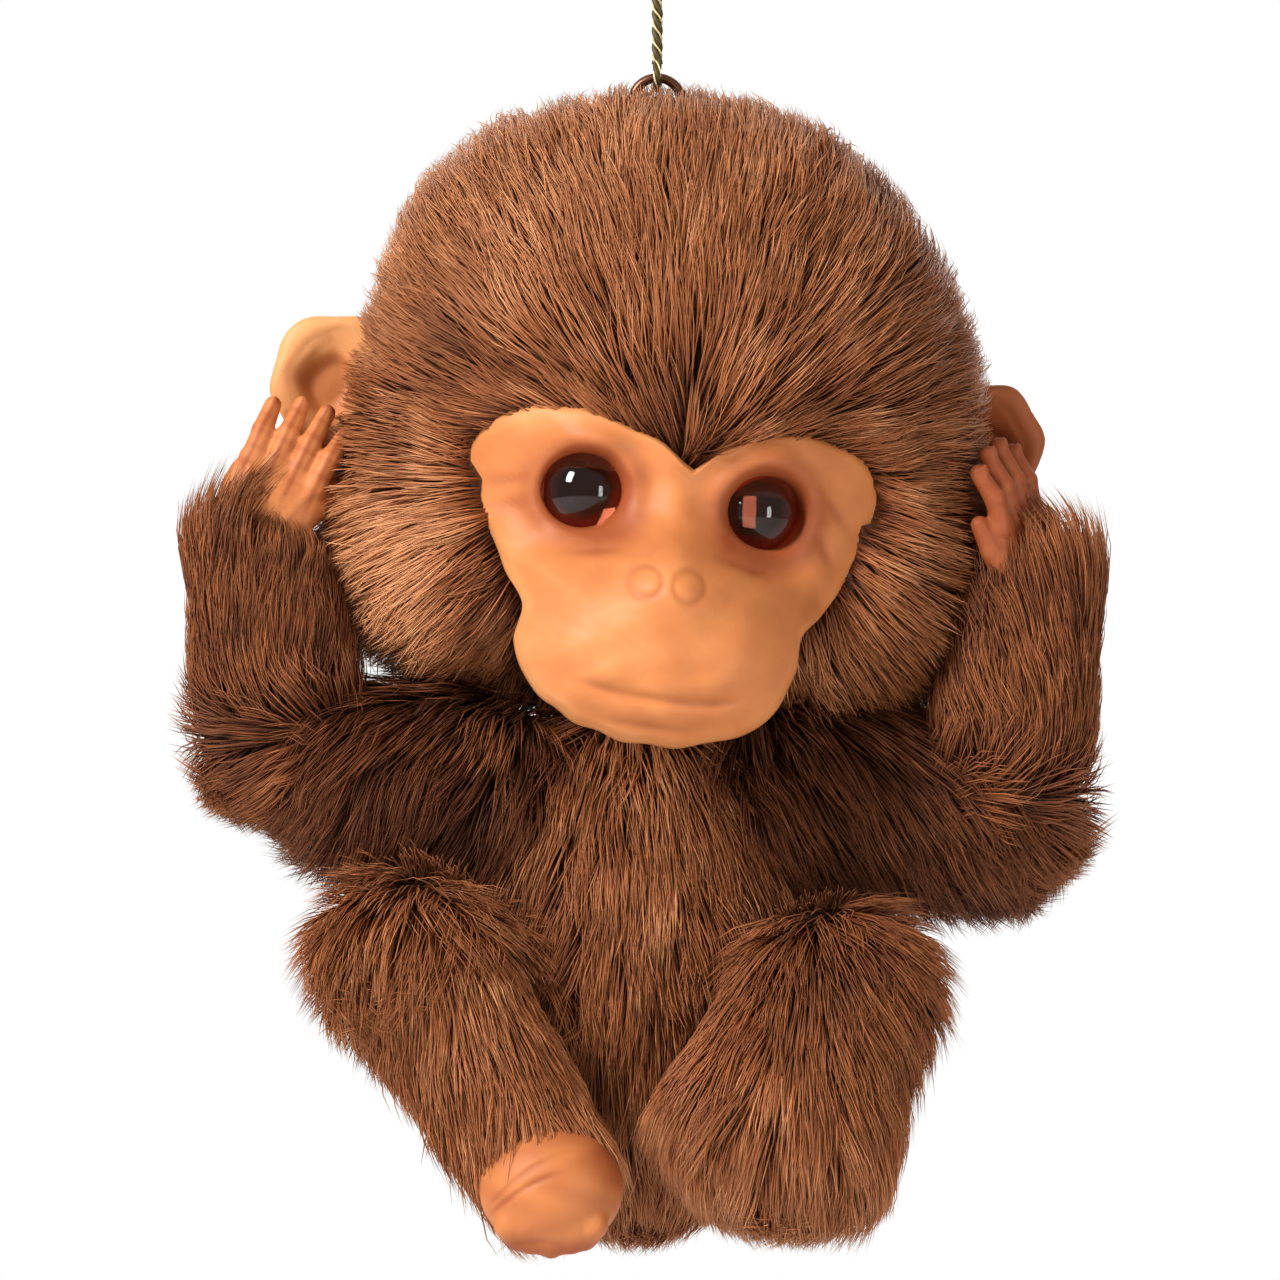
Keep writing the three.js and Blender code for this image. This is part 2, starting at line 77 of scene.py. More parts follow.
def srgb(red: int, green: int, blue: int) -> Colour:
    """A linear colour from 0 to 255 screen values."""
    def linear(value: float) -> float:
        """One channel made linear."""
        return value / 12.92 if value <= 0.04045 else ((value + 0.055) / 1.055) ** 2.4
    return (linear(red / 255), linear(green / 255), linear(blue / 255), 1.0)


# ---------------------------------------------------------------- node groups and finishes
def new_group(name: str, inputs: dict[str, tuple[str, object]],
              outputs: dict[str, str]) -> bpy.types.NodeTree:
    """Makes an empty shader node group.

    Args:
        name: The group's name.
        inputs: Socket name to its type and default value.
        outputs: Socket name to its type.

    Returns:
        The group, with its input and output nodes named In and Out.
    """
    group = bpy.data.node_groups.new(name, "ShaderNodeTree")
    for label, (kind, value) in inputs.items():
        socket = group.interface.new_socket(label, in_out="INPUT", socket_type=kind)
        if value is not None:
            socket.default_value = value
    for label, kind in outputs.items():
        group.interface.new_socket(label, in_out="OUTPUT", socket_type=kind)
    group.nodes.new("NodeGroupInput").name = "In"
    group.nodes.new("NodeGroupOutput").name = "Out"
    return group


def mottle_group() -> bpy.types.NodeTree:
    """A group that varies a colour in soft blotches and gives a fine grain height.

    Returns:
        The group, with inputs Colour, Deep, Blotch, Grain and Spread, and outputs Colour and Height.
    """
    group = new_group(
        "hand_finish",
        {
            "Colour": ("NodeSocketColor", (0.8, 0.8, 0.8, 1)),
            "Deep": ("NodeSocketColor", (0.2, 0.2, 0.2, 1)),
            "Blotch": ("NodeSocketFloat", 300.0),
            "Grain": ("NodeSocketFloat", 4000.0),
            "Spread": ("NodeSocketFloat", 0.3),
        },
        {"Colour": "NodeSocketColor", "Height": "NodeSocketFloat"},
    )
    nodes, links = group.nodes, group.links
    place = nodes.new("ShaderNodeTexCoord")
    blotch = nodes.new("ShaderNodeTexNoise")
    blotch.inputs["Detail"].default_value = 4
    grain = nodes.new("ShaderNodeTexNoise")
    grain.inputs["Detail"].default_value = 3
    spread = nodes.new("ShaderNodeMath")
    spread.operation = "MULTIPLY"
    mix = nodes.new("ShaderNodeMix")
    mix.data_type = "RGBA"
    links.new(place.outputs["Object"], blotch.inputs["Vector"])
    links.new(place.outputs["Object"], grain.inputs["Vector"])
    links.new(nodes["In"].outputs["Blotch"], blotch.inputs["Scale"])
    links.new(nodes["In"].outputs["Grain"], grain.inputs["Scale"])
    links.new(blotch.outputs["Fac"], spread.inputs[0])
    links.new(nodes["In"].outputs["Spread"], spread.inputs[1])
    links.new(spread.outputs[0], mix.inputs["Factor"])
    links.new(nodes["In"].outputs["Colour"], mix.inputs["A"])
    links.new(nodes["In"].outputs["Deep"], mix.inputs["B"])
    links.new(mix.outputs["Result"], nodes["Out"].inputs["Colour"])
    links.new(grain.outputs["Fac"], nodes["Out"].inputs["Height"])
    return group


def new_material(name: str) -> tuple[bpy.types.Material, bpy.types.NodeTree, bpy.types.Node]:
    """A new node material, its tree and its Principled shader."""
    material = bpy.data.materials.new(name)
    material.use_nodes = True
    tree = material.node_tree
    return material, tree, tree.nodes["Principled BSDF"]


def attribute_ramp(tree: bpy.types.NodeTree, attribute: str,
                   stops: Sequence[tuple[float, Colour]]) -> bpy.types.NodeSocket:
    """Adds a colour ramp that is read by a vertex attribute.

    Args:
        tree: The material's node tree.
        attribute: The attribute's name.
        stops: Places from 0 to 1 with their colours, in order.

    Returns:
        The ramp's colour output.
    """
    source = tree.nodes.new("ShaderNodeAttribute")
    source.attribute_name = attribute
    ramp = tree.nodes.new("ShaderNodeValToRGB")
    marks = ramp.color_ramp.elements
    marks[0].position, marks[0].color = stops[0]
    marks[1].position, marks[1].color = stops[-1]
    for place, colour in stops[1:-1]:
        marks.new(place).color = colour
    tree.links.new(source.outputs["Fac"], ramp.inputs["Fac"])
    return ramp.outputs["Color"]


@dataclass(frozen=True)
class Finish:
    """A finish with soft blotches of a deeper colour and a fine grain."""

    name: str
    colour: Colour
    deep: Colour
    blotch: float = 300.0
    grain: float = 4000.0
    spread: float = 0.3
    roughness: float = 0.5
    metallic: float = 0.0
    bump: float = 0.1
    coat: float = 0.0
    coat_roughness: float = 0.1
    sheen: float = 0.0
    specular: float = 0.5
    subsurface: float = 0.0

    def shader(self) -> tuple[bpy.types.Material, bpy.types.Node, bpy.types.Node]:
        """Makes the material up to its shader.

        Returns:
            The material, its Principled shader and its mottle group node.
        """
        material, tree, shader = new_material(self.name)
        values = {
            "Roughness": self.roughness, "Metallic": self.metallic, "Coat Weight": self.coat,
            "Coat Roughness": self.coat_roughness, "Sheen Weight": self.sheen,
            "Specular IOR Level": self.specular, "Subsurface Weight": self.subsurface,
        }
        for label, value in values.items():
            shader.inputs[label].default_value = value
        if self.subsurface:
            shader.inputs["Subsurface Radius"].default_value = (1.0, 0.45, 0.2)
            shader.inputs["Subsurface Scale"].default_value = 1.2 * MM
        group = tree.nodes.new("ShaderNodeGroup")
        group.node_tree = bpy.data.node_groups.get("hand_finish") or mottle_group()
        group.inputs["Colour"].default_value = self.colour
        group.inputs["Deep"].default_value = self.deep
        for label, value in (("Blotch", self.blotch), ("Grain", self.grain), ("Spread", self.spread)):
            group.inputs[label].default_value = value
        bump = tree.nodes.new("ShaderNodeBump")
        bump.inputs["Strength"].default_value = self.bump
        bump.inputs["Distance"].default_value = 0.05 * MM
        tree.links.new(group.outputs["Height"], bump.inputs["Height"])
        tree.links.new(bump.outputs["Normal"], shader.inputs["Normal"])
        tree.links.new(group.outputs["Colour"], shader.inputs["Base Color"])
        return material, shader, group

    def material(self) -> bpy.types.Material:
        """The finished material, made once."""
        return bpy.data.materials.get(self.name) or self.shader()[0]


@dataclass(frozen=True)
class PaintedVinyl(Finish):
    """Moulded vinyl coloured from a vertex attribute: painted highlight, its own tone, then painted shade."""

    # Painted shade: the colour of creases, hollows and the side away from the lamp.
    crease: Colour = srgb(128, 48, 16)
    # Painted highlight colour.
    light: Colour = srgb(230, 166, 108)

    def material(self) -> bpy.types.Material:
        """The vinyl, made once."""
        made = bpy.data.materials.get(self.name)
        if made:
            return made
        material, shader, group = self.shader()
        tree = material.node_tree
        paint = attribute_ramp(tree, "tone_and_painted_light", ((0.0, self.light), (0.42, self.colour), (1.0, self.crease)))
        mix = tree.nodes.new("ShaderNodeMix")
        mix.data_type = "RGBA"
        mix.inputs["Factor"].default_value = 0.72
        tree.links.new(group.outputs["Colour"], mix.inputs["A"])
        tree.links.new(paint, mix.inputs["B"])
        tree.links.new(mix.outputs["Result"], shader.inputs["Base Color"])
        return material


@dataclass(frozen=True)
class PileFinish:
    """Fur fibre from the attribute pile_tone: lighter tips of its own, and painted shade deep in the pile at
    the root.
    """

    name: str
    root: Colour
    low: Colour
    middle: Colour
    tip: Colour
    roughness: float = 0.5
    sheen: float = 0.1

    def material(self) -> bpy.types.Material:
        """The fibre's material, made once."""
        made = bpy.data.materials.get(self.name)
        if made:
            return made
        material, tree, shader = new_material(self.name)
        shader.inputs["Roughness"].default_value = self.roughness
        shader.inputs["Sheen Weight"].default_value = self.sheen
        shader.inputs["Sheen Tint"].default_value = self.tip
        shader.inputs["Specular IOR Level"].default_value = 0.22
        stops = ((0.0, self.root), (0.33, self.low), (0.66, self.middle), (1.0, self.tip))
        tree.links.new(attribute_ramp(tree, "pile_tone", stops), shader.inputs["Base Color"])
        return material


@dataclass(frozen=True)
class DomeFinish:
    """Clear tinted plastic of a toy eye's dome."""

    name: str = "eye_dome_clear"
    tint: Colour = srgb(236, 128, 92)

    def material(self) -> bpy.types.Material:
        """The dome's material, made once."""
        made = bpy.data.materials.get(self.name)
        if made:
            return made
        material, _, shader = new_material(self.name)
        shader.inputs["Base Color"].default_value = self.tint
        shader.inputs["Roughness"].default_value = 0.0
        shader.inputs["IOR"].default_value = 1.42
        shader.inputs["Specular IOR Level"].default_value = 0.05
        shader.inputs["Transmission Weight"].default_value = 1.0
        return material


@dataclass(frozen=True)
class IrisFinish:
    """Painted back of an eye: a black pupil and a red-brown iris, with a painted red glow on its lower side.
    """

    name: str = "iris_paint"
    pupil: Colour = srgb(8, 5, 5)
    inner: Colour = srgb(60, 9, 6)
    rim: Colour = srgb(120, 14, 8)
    # Painted glow: the brighter red where light through the dome would gather.
    painted_glow_red: Colour = srgb(130, 18, 9)

    def material(self) -> bpy.types.Material:
        """The iris paint, made once."""
        made = bpy.data.materials.get(self.name)
        if made:
            return made
        material, tree, shader = new_material(self.name)
        shader.inputs["Roughness"].default_value = 0.6
        shader.inputs["Specular IOR Level"].default_value = 0.05
        stops = ((0.36, self.pupil), (0.42, self.inner), (0.68, self.rim), (1.0, self.painted_glow_red))
        tree.links.new(attribute_ramp(tree, "iris_reach_and_glow", stops), shader.inputs["Base Color"])
        return material


VINYL = PaintedVinyl(
    "face_vinyl", srgb(196, 120, 66), srgb(168, 88, 44), blotch=260, grain=2600, spread=0.7,
    roughness=0.56, bump=0.3, coat=0.02, coat_roughness=0.4, specular=0.3, subsurface=0.12,
)
PILE = PileFinish(
    "fur_pile", srgb(34, 15, 7), srgb(94, 46, 22), srgb(164, 97, 56), srgb(228, 163, 114),
)
OLIVE = Finish("cord_olive", srgb(88, 74, 26), srgb(34, 27, 6), 2600, 9000, 0.8, 0.5, 0.25, 0.5)
GOLD = Finish("cord_gold", srgb(238, 222, 178), srgb(170, 148, 84), 2600, 9000, 0.6, 0.35, 0.35, 0.5)
COPPER = Finish("antique_copper", srgb(128, 84, 62), srgb(60, 36, 26), 900, 6000, 0.6, 0.34, 0.9, 0.3)
STEEL = Finish("annealed_wire", srgb(150, 150, 152), srgb(90, 86, 82), 900, 6000, 0.5, 0.4, 0.9, 0.3)
WOOD = Finish("plug_softwood", srgb(198, 154, 104), srgb(150, 104, 62), 260, 3000, 0.7, 0.7, 0, 0.4)
FIBRE = Finish("packed_fibre", srgb(228, 222, 210), srgb(196, 188, 172), 500, 2500, 0.6, 0.95, 0, 0.9)
WASHER = Finish("washer_plastic", srgb(40, 40, 43), srgb(22, 22, 24), 700, 5000, 0.4, 0.55, 0, 0.2)


# ---------------------------------------------------------------- making and dressing meshes
def only(obj: bpy.types.Object) -> bpy.types.Object:
    """Selects obj alone and makes it active."""
    bpy.ops.object.select_all(action="DESELECT")
    obj.select_set(True)
    bpy.context.view_layer.objects.active = obj
    return obj


def apply_modifier(obj: bpy.types.Object, kind: str, **settings: object) -> None:
    """Adds a modifier to obj and applies it."""
    only(obj)
    modifier = obj.modifiers.new(kind.lower(), kind)
    for name, value in settings.items():
        setattr(modifier, name, value)
    bpy.ops.object.modifier_apply(modifier=modifier.name)


def vertices_of(obj: bpy.types.Object) -> Points:
    """The mesh's vertices as an array of rows."""
    places = np.empty(len(obj.data.vertices) * 3)
    obj.data.vertices.foreach_get("co", places)
    return places.reshape(-1, 3)


def move_vertices(obj: bpy.types.Object, places: Points) -> None:
    """Puts the mesh's vertices at these places."""
    obj.data.vertices.foreach_set("co", np.asarray(places, float).ravel())
    obj.data.update()


def transformed(points: Points, matrix: Matrix) -> Points:
    """Points moved by a 4 by 4 matrix."""
    grid = np.array(matrix)
    return points @ grid[:3, :3].T + grid[:3, 3]


def to_metres(obj: bpy.types.Object, place: Matrix) -> None:
    """Moves a mesh made in millimetres into the row frame by its place, in metres."""
    move_vertices(obj, transformed(vertices_of(obj) * MM, place))


def put_attribute(obj: bpy.types.Object, name: str, values: Points) -> None:
    """Stores one number for each vertex."""
    attribute = obj.data.attributes.new(name, "FLOAT", "POINT")
    attribute.data.foreach_set("value", np.asarray(values, np.float32))


def mesh_from(name: str, points: Points, faces: Sequence[Points]) -> bpy.types.Object:
    """Makes a mesh object from arrays.

    Args:
        name: The object's name.
        points: Vertex places, one row each.
        faces: Arrays of vertex numbers, one row a face, each array with one face size.

    Returns:
        The object, linked to the scene.
    """
    mesh = bpy.data.meshes.new(name)
    mesh.vertices.add(len(points))
    mesh.vertices.foreach_set("co", np.asarray(points, np.float32).ravel())
    corners = np.concatenate([np.asarray(f, np.int32).ravel() for f in faces])
    sizes = np.concatenate([np.full(len(f), f.shape[1], np.int32) for f in faces])
    mesh.loops.add(len(corners))
    mesh.loops.foreach_set("vertex_index", corners)
    mesh.polygons.add(len(sizes))
    mesh.polygons.foreach_set("loop_start", np.concatenate([[0], np.cumsum(sizes)[:-1]]).astype(np.int32))
    mesh.polygons.foreach_set("use_smooth", np.ones(len(sizes), bool))
    mesh.update(calc_edges=True)
    obj = bpy.data.objects.new(name, mesh)
    bpy.context.scene.collection.objects.link(obj)
    return obj


def ball(centre: Sequence[float], radii: Sequence[float], segments: int = 24) -> bpy.types.Object:
    """Adds a stretched ball, in millimetres, with its place in its mesh."""
    bpy.ops.object.select_all(action="DESELECT")
    bpy.ops.mesh.primitive_uv_sphere_add(segments=segments, ring_count=segments // 2, location=centre)
    obj = bpy.context.object
    obj.scale = radii
    bpy.ops.object.transform_apply(location=True, rotation=True, scale=True)
    return obj


def capsule(start: Sequence[float], end: Sequence[float], first: float, last: float,
            segments: int = 24) -> bpy.types.Object:
    """Adds a rod with round ends.

    Args:
        start: The middle of its first end, in millimetres.
        end: The middle of its last end.
        first: The radius at its first end.
        last: The radius at its last end.
        segments: The number of sides.

    Returns:
        The rod, with its place in its mesh.
    """
    bpy.ops.object.select_all(action="DESELECT")
    bpy.ops.mesh.primitive_uv_sphere_add(segments=segments, ring_count=segments // 2, location=(0, 0, 0))
    obj = bpy.context.object
    way = Vector(end) - Vector(start)
    places = vertices_of(obj)
    upper = places[:, 2] > 1e-6
    places[upper] *= last
    places[~upper] *= first
    places[upper, 2] += way.length
    move_vertices(obj, places)
    turn = way.to_track_quat("Z", "Y").to_matrix().to_4x4()
    move_vertices(obj, transformed(vertices_of(obj), Matrix.Translation(start) @ turn))
    return obj


def join(pieces: Sequence[bpy.types.Object], name: str) -> bpy.types.Object:
    """Joins meshes into one object."""
    bpy.ops.object.select_all(action="DESELECT")
    for obj in pieces:
        obj.select_set(True)
    bpy.context.view_layer.objects.active = pieces[0]
    bpy.ops.object.join()
    pieces[0].name = name
    pieces[0].data.name = name
    return pieces[0]


def knead(obj: bpy.types.Object, voxel: float, smooth: int) -> bpy.types.Object:
    """Melts joined forms into one skin of even squares, and softens it.

    Args:
        obj: The joined forms, in millimetres.
        voxel: The size of a square, in millimetres.
        smooth: How many times it is softened.

    Returns:
        The same object.
    """
    apply_modifier(obj, "REMESH", mode="VOXEL", voxel_size=voxel, adaptivity=0.0)
    apply_modifier(obj, "SMOOTH", factor=0.5, iterations=smooth)
    return obj


def smooth_faces(obj: bpy.types.Object) -> None:
    """Shades every face smooth."""
    obj.data.polygons.foreach_set("use_smooth", np.ones(len(obj.data.polygons), bool))
    obj.data.update()


def dress(obj: bpy.types.Object, finish: object) -> bpy.types.Object:
    """Gives a piece its only material."""
    obj.data.materials.clear()
    obj.data.materials.append(finish.material())
    return obj


def face_outward(obj: bpy.types.Object) -> None:
    """Turns every face of a mesh outward."""
    only(obj)
    bpy.ops.object.mode_set(mode="EDIT")
    bpy.ops.mesh.select_all(action="SELECT")
    bpy.ops.mesh.normals_make_consistent(inside=False)
    bpy.ops.object.mode_set(mode="OBJECT")


def keep_part(obj: bpy.types.Object, place: Sequence[float], toward: Sequence[float]) -> None:
    """Cuts a mesh through a place and keeps the part on the side that toward points to."""
    only(obj)
    bpy.ops.object.mode_set(mode="EDIT")
    bpy.ops.mesh.select_all(action="SELECT")
    bpy.ops.mesh.bisect(plane_co=place, plane_no=toward, clear_inner=True)
    bpy.ops.object.mode_set(mode="OBJECT")


def mount_piece(obj: bpy.types.Object, body: str, *nodes: str) -> bpy.types.Object:
    """Rides a finished piece on its body, in place of the CAD nodes that it stands for."""
    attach(obj, body)
    if nodes:
        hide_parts(*nodes)
    LOG.info("%s rides on %s, %d faces", obj.name, body, len(obj.data.polygons))
    return obj


def vinyl_piece(obj: bpy.types.Object, body: str, node: str) -> None:
    """Smooths, paints and mounts a moulded vinyl piece."""
    smooth_faces(obj)
    dress(obj, VINYL)
    mount_piece(obj, body, node)


def node_middle(node: str) -> Vector:
    """The middle of a CAD node's box, in metres."""
    low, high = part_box(node)
    return (low + high) / 2


def far_cap(node: str, start: Vector) -> Vector:
    """The middle of a rod's far end, in metres.

    Args:
        node: The rod's CAD node.
        start: A point near its other end.

    Returns:
        The middle of the end that is away from start.
    """
    places = vertices_of(frame["nodes"][node])
    away = np.linalg.norm(places - np.array(start), axis=1)
    return Vector(places[away > away.max() - 0.3 * MM].mean(0))


def eye_ring_middle() -> Vector:
    """The middle of the crown eye's ring, in metres."""
    low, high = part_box("screw_eye")
    half = (high.x - low.x) / 2
    return Vector(((low.x + high.x) / 2, (low.y + high.y) / 2, high.z - half))


def joint_point(name: str) -> Vector:
    """Where a joint is, in metres."""
    return Vector(JOINTS[name]["pos_m"])


def smooth_step(low: float, high: float, value: Points) -> Points:
    """0 below low, 1 above high, and a smooth rise between."""
    t = np.clip((value - low) / (high - low), 0, 1)
    return t * t * (3 - 2 * t)


def hill(u: Points, w: Points, side: float, height: float, wide: float, tall: float) -> Points:
    """A soft hill of height 1 at (side, height)."""
    return np.exp(-(((u - side) / wide) ** 2) - ((w - height) / tall) ** 2)


def unit(rows: Points) -> Points:
    """Each row at length 1."""
    return rows / np.maximum(np.linalg.norm(rows, axis=-1, keepdims=True), 1e-9)


def smooth_line(points: Sequence[Sequence[float]], step: float) -> Points:
    """A smooth line through the points, with even steps."""
    p = np.array(points, float)
    padded = np.vstack([2 * p[0] - p[1], p, 2 * p[-1] - p[-2]])
    rows = []
    for i in range(1, len(padded) - 2):
        a, b, c, d = padded[i - 1:i + 3]
        for t in np.linspace(0, 1, 60, endpoint=False):
            rows.append(0.5 * (2 * b + (c - a) * t + (2 * a - 5 * b + 4 * c - d) * t * t
                               + (3 * b - a - 3 * c + d) * t ** 3))
    line = np.vstack(rows + [padded[-2]])
    along = np.concatenate([[0], np.cumsum(np.linalg.norm(np.diff(line, axis=0), axis=1))])
    marks = np.linspace(0, along[-1], max(8, int(along[-1] / step)))
    return np.column_stack([np.interp(marks, along, line[:, k]) for k in range(3)])


# ---------------------------------------------------------------- stage
@dataclass
class Stage:
    """Camera, soft lights and a pale floor below the hanging figure. Sizes are metres."""

    distance: float = 1.0
    view_width: float = 0.11136
    aim_side: float = -0.0015
    aim_down: float = 0.047
    floor_drop: float = 0.09
    floor_radius: float = 0.55

    def camera(self, ring: Vector) -> None:
        """Puts the camera level in front of the figure.

        Args:
            ring: The middle of the crown eye.
        """
        aim = Vector((self.aim_side, ring.y, ring.z - self.aim_down))
        data = bpy.data.cameras.new("camera")
        data.sensor_width = 36
        data.lens = data.sensor_width * self.distance / self.view_width
        camera = bpy.data.objects.new("camera", data)
        camera.location = aim - Vector((0, self.distance, 0))
        camera.rotation_euler = (math.pi / 2, 0, 0)
        bpy.context.scene.collection.objects.link(camera)
        bpy.context.scene.camera = camera

    def lamp(self, name: str, place: Vector, target: Vector, size: tuple[float, float], power: float) -> None:
        """Adds a soft box that faces a point."""
        data = bpy.data.lights.new(name, "AREA")
        data.shape = "RECTANGLE"
        data.size, data.size_y = size
        data.energy = power
        lamp = bpy.data.objects.new(name, data)
        lamp.location = place
        lamp.rotation_euler = (target - place).to_track_quat("-Z", "Y").to_euler()
        bpy.context.scene.collection.objects.link(lamp)

    def build(self) -> None:
        """Makes the camera, the lamps, the pale surroundings and the floor."""
        ring = eye_ring_middle()
        self.camera(ring)
        middle = Vector((0, 0, ring.z - self.aim_down))
        self.lamp("key_box", middle + Vector((-0.50, -0.50, 0.44)), middle, (0.22, 0.36), 10.0)
        self.lamp("fill_box", middle + Vector((0.5, -0.6, -0.1)), middle, (0.14, 0.5), 3.0)
        self.lamp("back_box", middle + Vector((0.1, 0.6, 0.45)), middle, (0.5, 0.5), 2.0)
        self.world()
        self.floor(middle)
        bpy.context.scene.view_settings.view_transform = "Standard"

    def world(self) -> None:
        """Surrounds the scene with pale light, seen as white."""
        world = bpy.data.worlds.new("pale_room")
        bpy.context.scene.world = world
        world.use_nodes = True
        tree = world.node_tree
        light = tree.nodes["Background"]
        light.inputs["Color"].default_value = (1.0, 0.985, 0.965, 1)
        light.inputs["Strength"].default_value = 0.42
        seen = tree.nodes.new("ShaderNodeBackground")
        seen.inputs["Color"].default_value = (1, 1, 1, 1)
        path = tree.nodes.new("ShaderNodeLightPath")
        mix = tree.nodes.new("ShaderNodeMixShader")
        tree.links.new(path.outputs["Is Camera Ray"], mix.inputs["Fac"])
        tree.links.new(light.outputs[0], mix.inputs[1])
        tree.links.new(seen.outputs[0], mix.inputs[2])
        tree.links.new(mix.outputs[0], tree.nodes["World Output"].inputs["Surface"])

    def floor(self, middle: Vector) -> None:
        """Lays a pale round floor well below the figure."""
        bpy.ops.object.select_all(action="DESELECT")
        bpy.ops.mesh.primitive_cylinder_add(
            vertices=96, radius=self.floor_radius, depth=0.004,
            location=(middle.x, middle.y, middle.z - self.aim_down - self.floor_drop),
        )
        floor = bpy.context.object
        floor.name = "pale_floor"
        bpy.ops.object.transform_apply(location=True, rotation=True, scale=True)
        finish = Finish("floor_paint", srgb(244, 243, 240), srgb(236, 234, 230), 12, 400, 0.3, 0.8)
        floor.data.materials.append(finish.material())


# ---------------------------------------------------------------- cord and eye
@dataclass
class TwistedCord:
    """The hanging cord: two dark strands and two gilt threads, knotted into a loop at the top."""

    diameter: float = 1.0
    lay_length: float = 2.9
    strand_sides: int = 10
    step: float = 0.12
    loop_height: float = 17.0
    loop_half_width: float = 2.9
    reach_down: float = 0.9
    strands: tuple[tuple[float, float, float, int], ...] = (
        (0.0, 0.235, 0.262, 0), (0.5, 0.235, 0.262, 0), (0.25, 0.35, 0.11, 1), (0.75, 0.35, 0.11, 1),
    )

    def loop_route(self, knot: Vector) -> list[tuple[float, float, float]]:
        """The loop's points from the knot up, over and back to the knot, in millimetres."""
        height, half = self.loop_height, self.loop_half_width
        base = knot.z / MM
        side = [(0.25, base), (0.62, base + 1.85), (1.5, -height * 0.72), (half, -height * 0.32), (2.3, -1.0)]
        rise = [(-x, 0.0, z) for x, z in side]
        fall = [(x, 0.0, z) for x, z in reversed(side)]
        return rise + [(0.0, 0.0, self.diameter / 2)] + fall

    def rope(self, name: str, line: Points, diameter: float, closed: bool = False) -> bpy.types.Object:
        """Twists the strands round a line.

        Args:
            name: The piece's name.
            line: Evenly spaced points in millimetres.
            diameter: The rope's full diameter.
            closed: Whether the line comes back to its start.

        Returns:
            The rope, in metres: two dark strands with a gilt thread in each groove between them.
        """
        tangent = unit(np.gradient(line, axis=0))
        if closed:
            tangent = unit(np.roll(line, -1, 0) - np.roll(line, 1, 0))
        axis = np.array([0.0, 1.0, 0.0]) if np.abs(tangent[:, 1]).max() < 0.95 else np.array([1.0, 0.0, 0.0])
        side = unit(np.cross(tangent, axis))
        up = np.cross(side, tangent)
        along = np.concatenate([[0], np.cumsum(np.linalg.norm(np.diff(line, axis=0), axis=1))])
        turns = along / self.lay_length
        if closed:
            whole = round((along[-1] + np.linalg.norm(line[0] - line[-1])) / self.lay_length) or 1
            turns = np.arange(len(line)) / len(line) * whole
        points, faces, tones = [], [], []
        for phase, offset, radius, tint in self.strands:
            spin = 2 * np.pi * (turns + phase)
            out = np.cos(spin)[:, None] * side + np.sin(spin)[:, None] * up
            middle = line + out * diameter * offset
            ring = []
            for k in range(self.strand_sides):
                angle = spin + 2 * np.pi * k / self.strand_sides
                way = np.cos(angle)[:, None] * side + np.sin(angle)[:, None] * up
                ring.append(middle + way * diameter * radius)
            ring = np.stack(ring, 1)
            n, m = ring.shape[:2]
            start = sum(len(p) for p in points)
            index = start + np.arange(n * m).reshape(n, m)
            rows = range(n if closed else n - 1)
            quads = [
                (index[i, k], index[i, (k + 1) % m], index[(i + 1) % n, (k + 1) % m], index[(i + 1) % n, k])
                for i in rows for k in range(m)
            ]
            faces.append(np.array(quads))
            tones.append(np.full(len(quads), tint))
            points.append(ring.reshape(-1, 3))
            if not closed:
                faces.append(index[0, ::-1][None])
                faces.append(index[-1][None])
                tones.append(np.full(2, tint))
        obj = mesh_from(name, np.vstack(points) * MM, faces)
        obj.data.materials.append(OLIVE.material())
        obj.data.materials.append(GOLD.material())
        obj.data.polygons.foreach_set("material_index", np.concatenate(tones).astype(np.int32))
        face_outward(obj)
        return obj

    def knot_line(self, centre: Vector) -> Points:
        """A trefoil drawn tight round the cord, in millimetres."""
        t = np.linspace(0, 2 * np.pi, 150, endpoint=False)
        knot = np.column_stack([
            np.sin(t) + 2 * np.sin(2 * t), 0.75 * (-np.sin(3 * t)), np.cos(t) - 2 * np.cos(2 * t),
        ])
        low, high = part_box("loop_knot")
        half = (high - low) / MM / 2 - Vector((0.5, 0.5, 0.5))
        knot = knot / np.abs(knot).max(0) * np.array(half)
        return knot + np.array(centre) / MM

    def build(self) -> None:
        """Makes the cord with its loop, its knot and its tie round the eye."""
        knot = node_middle("loop_knot")
        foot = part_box("hanging_cord")[0].z / MM - self.reach_down
        stalk = [(0.0, 0.0, foot), (0.0, 0.0, foot + 2.4), (0.0, 0.0, foot + 4.8)]
        line = smooth_line(stalk + self.loop_route(knot), self.step)
        cord = self.rope("twisted_cord", line, self.diameter)
        knot_piece = self.rope("cord_knot", self.knot_line(knot), 0.86, closed=True)
        tie_middle = np.array(node_middle("cord_tie")) / MM
        turn = np.linspace(0, 2 * np.pi, 90, endpoint=False)
        circle = np.column_stack([0 * turn, np.cos(turn), np.sin(turn)]) * 1.15 + tie_middle
        tie = self.rope("eye_tie", circle, 0.78, closed=True)
        mount_piece(cord, "hanger", "hanging_cord", "hanging_loop")
        mount_piece(knot_piece, "hanger", "loop_knot")
        mount_piece(tie, "tie", "cord_tie")


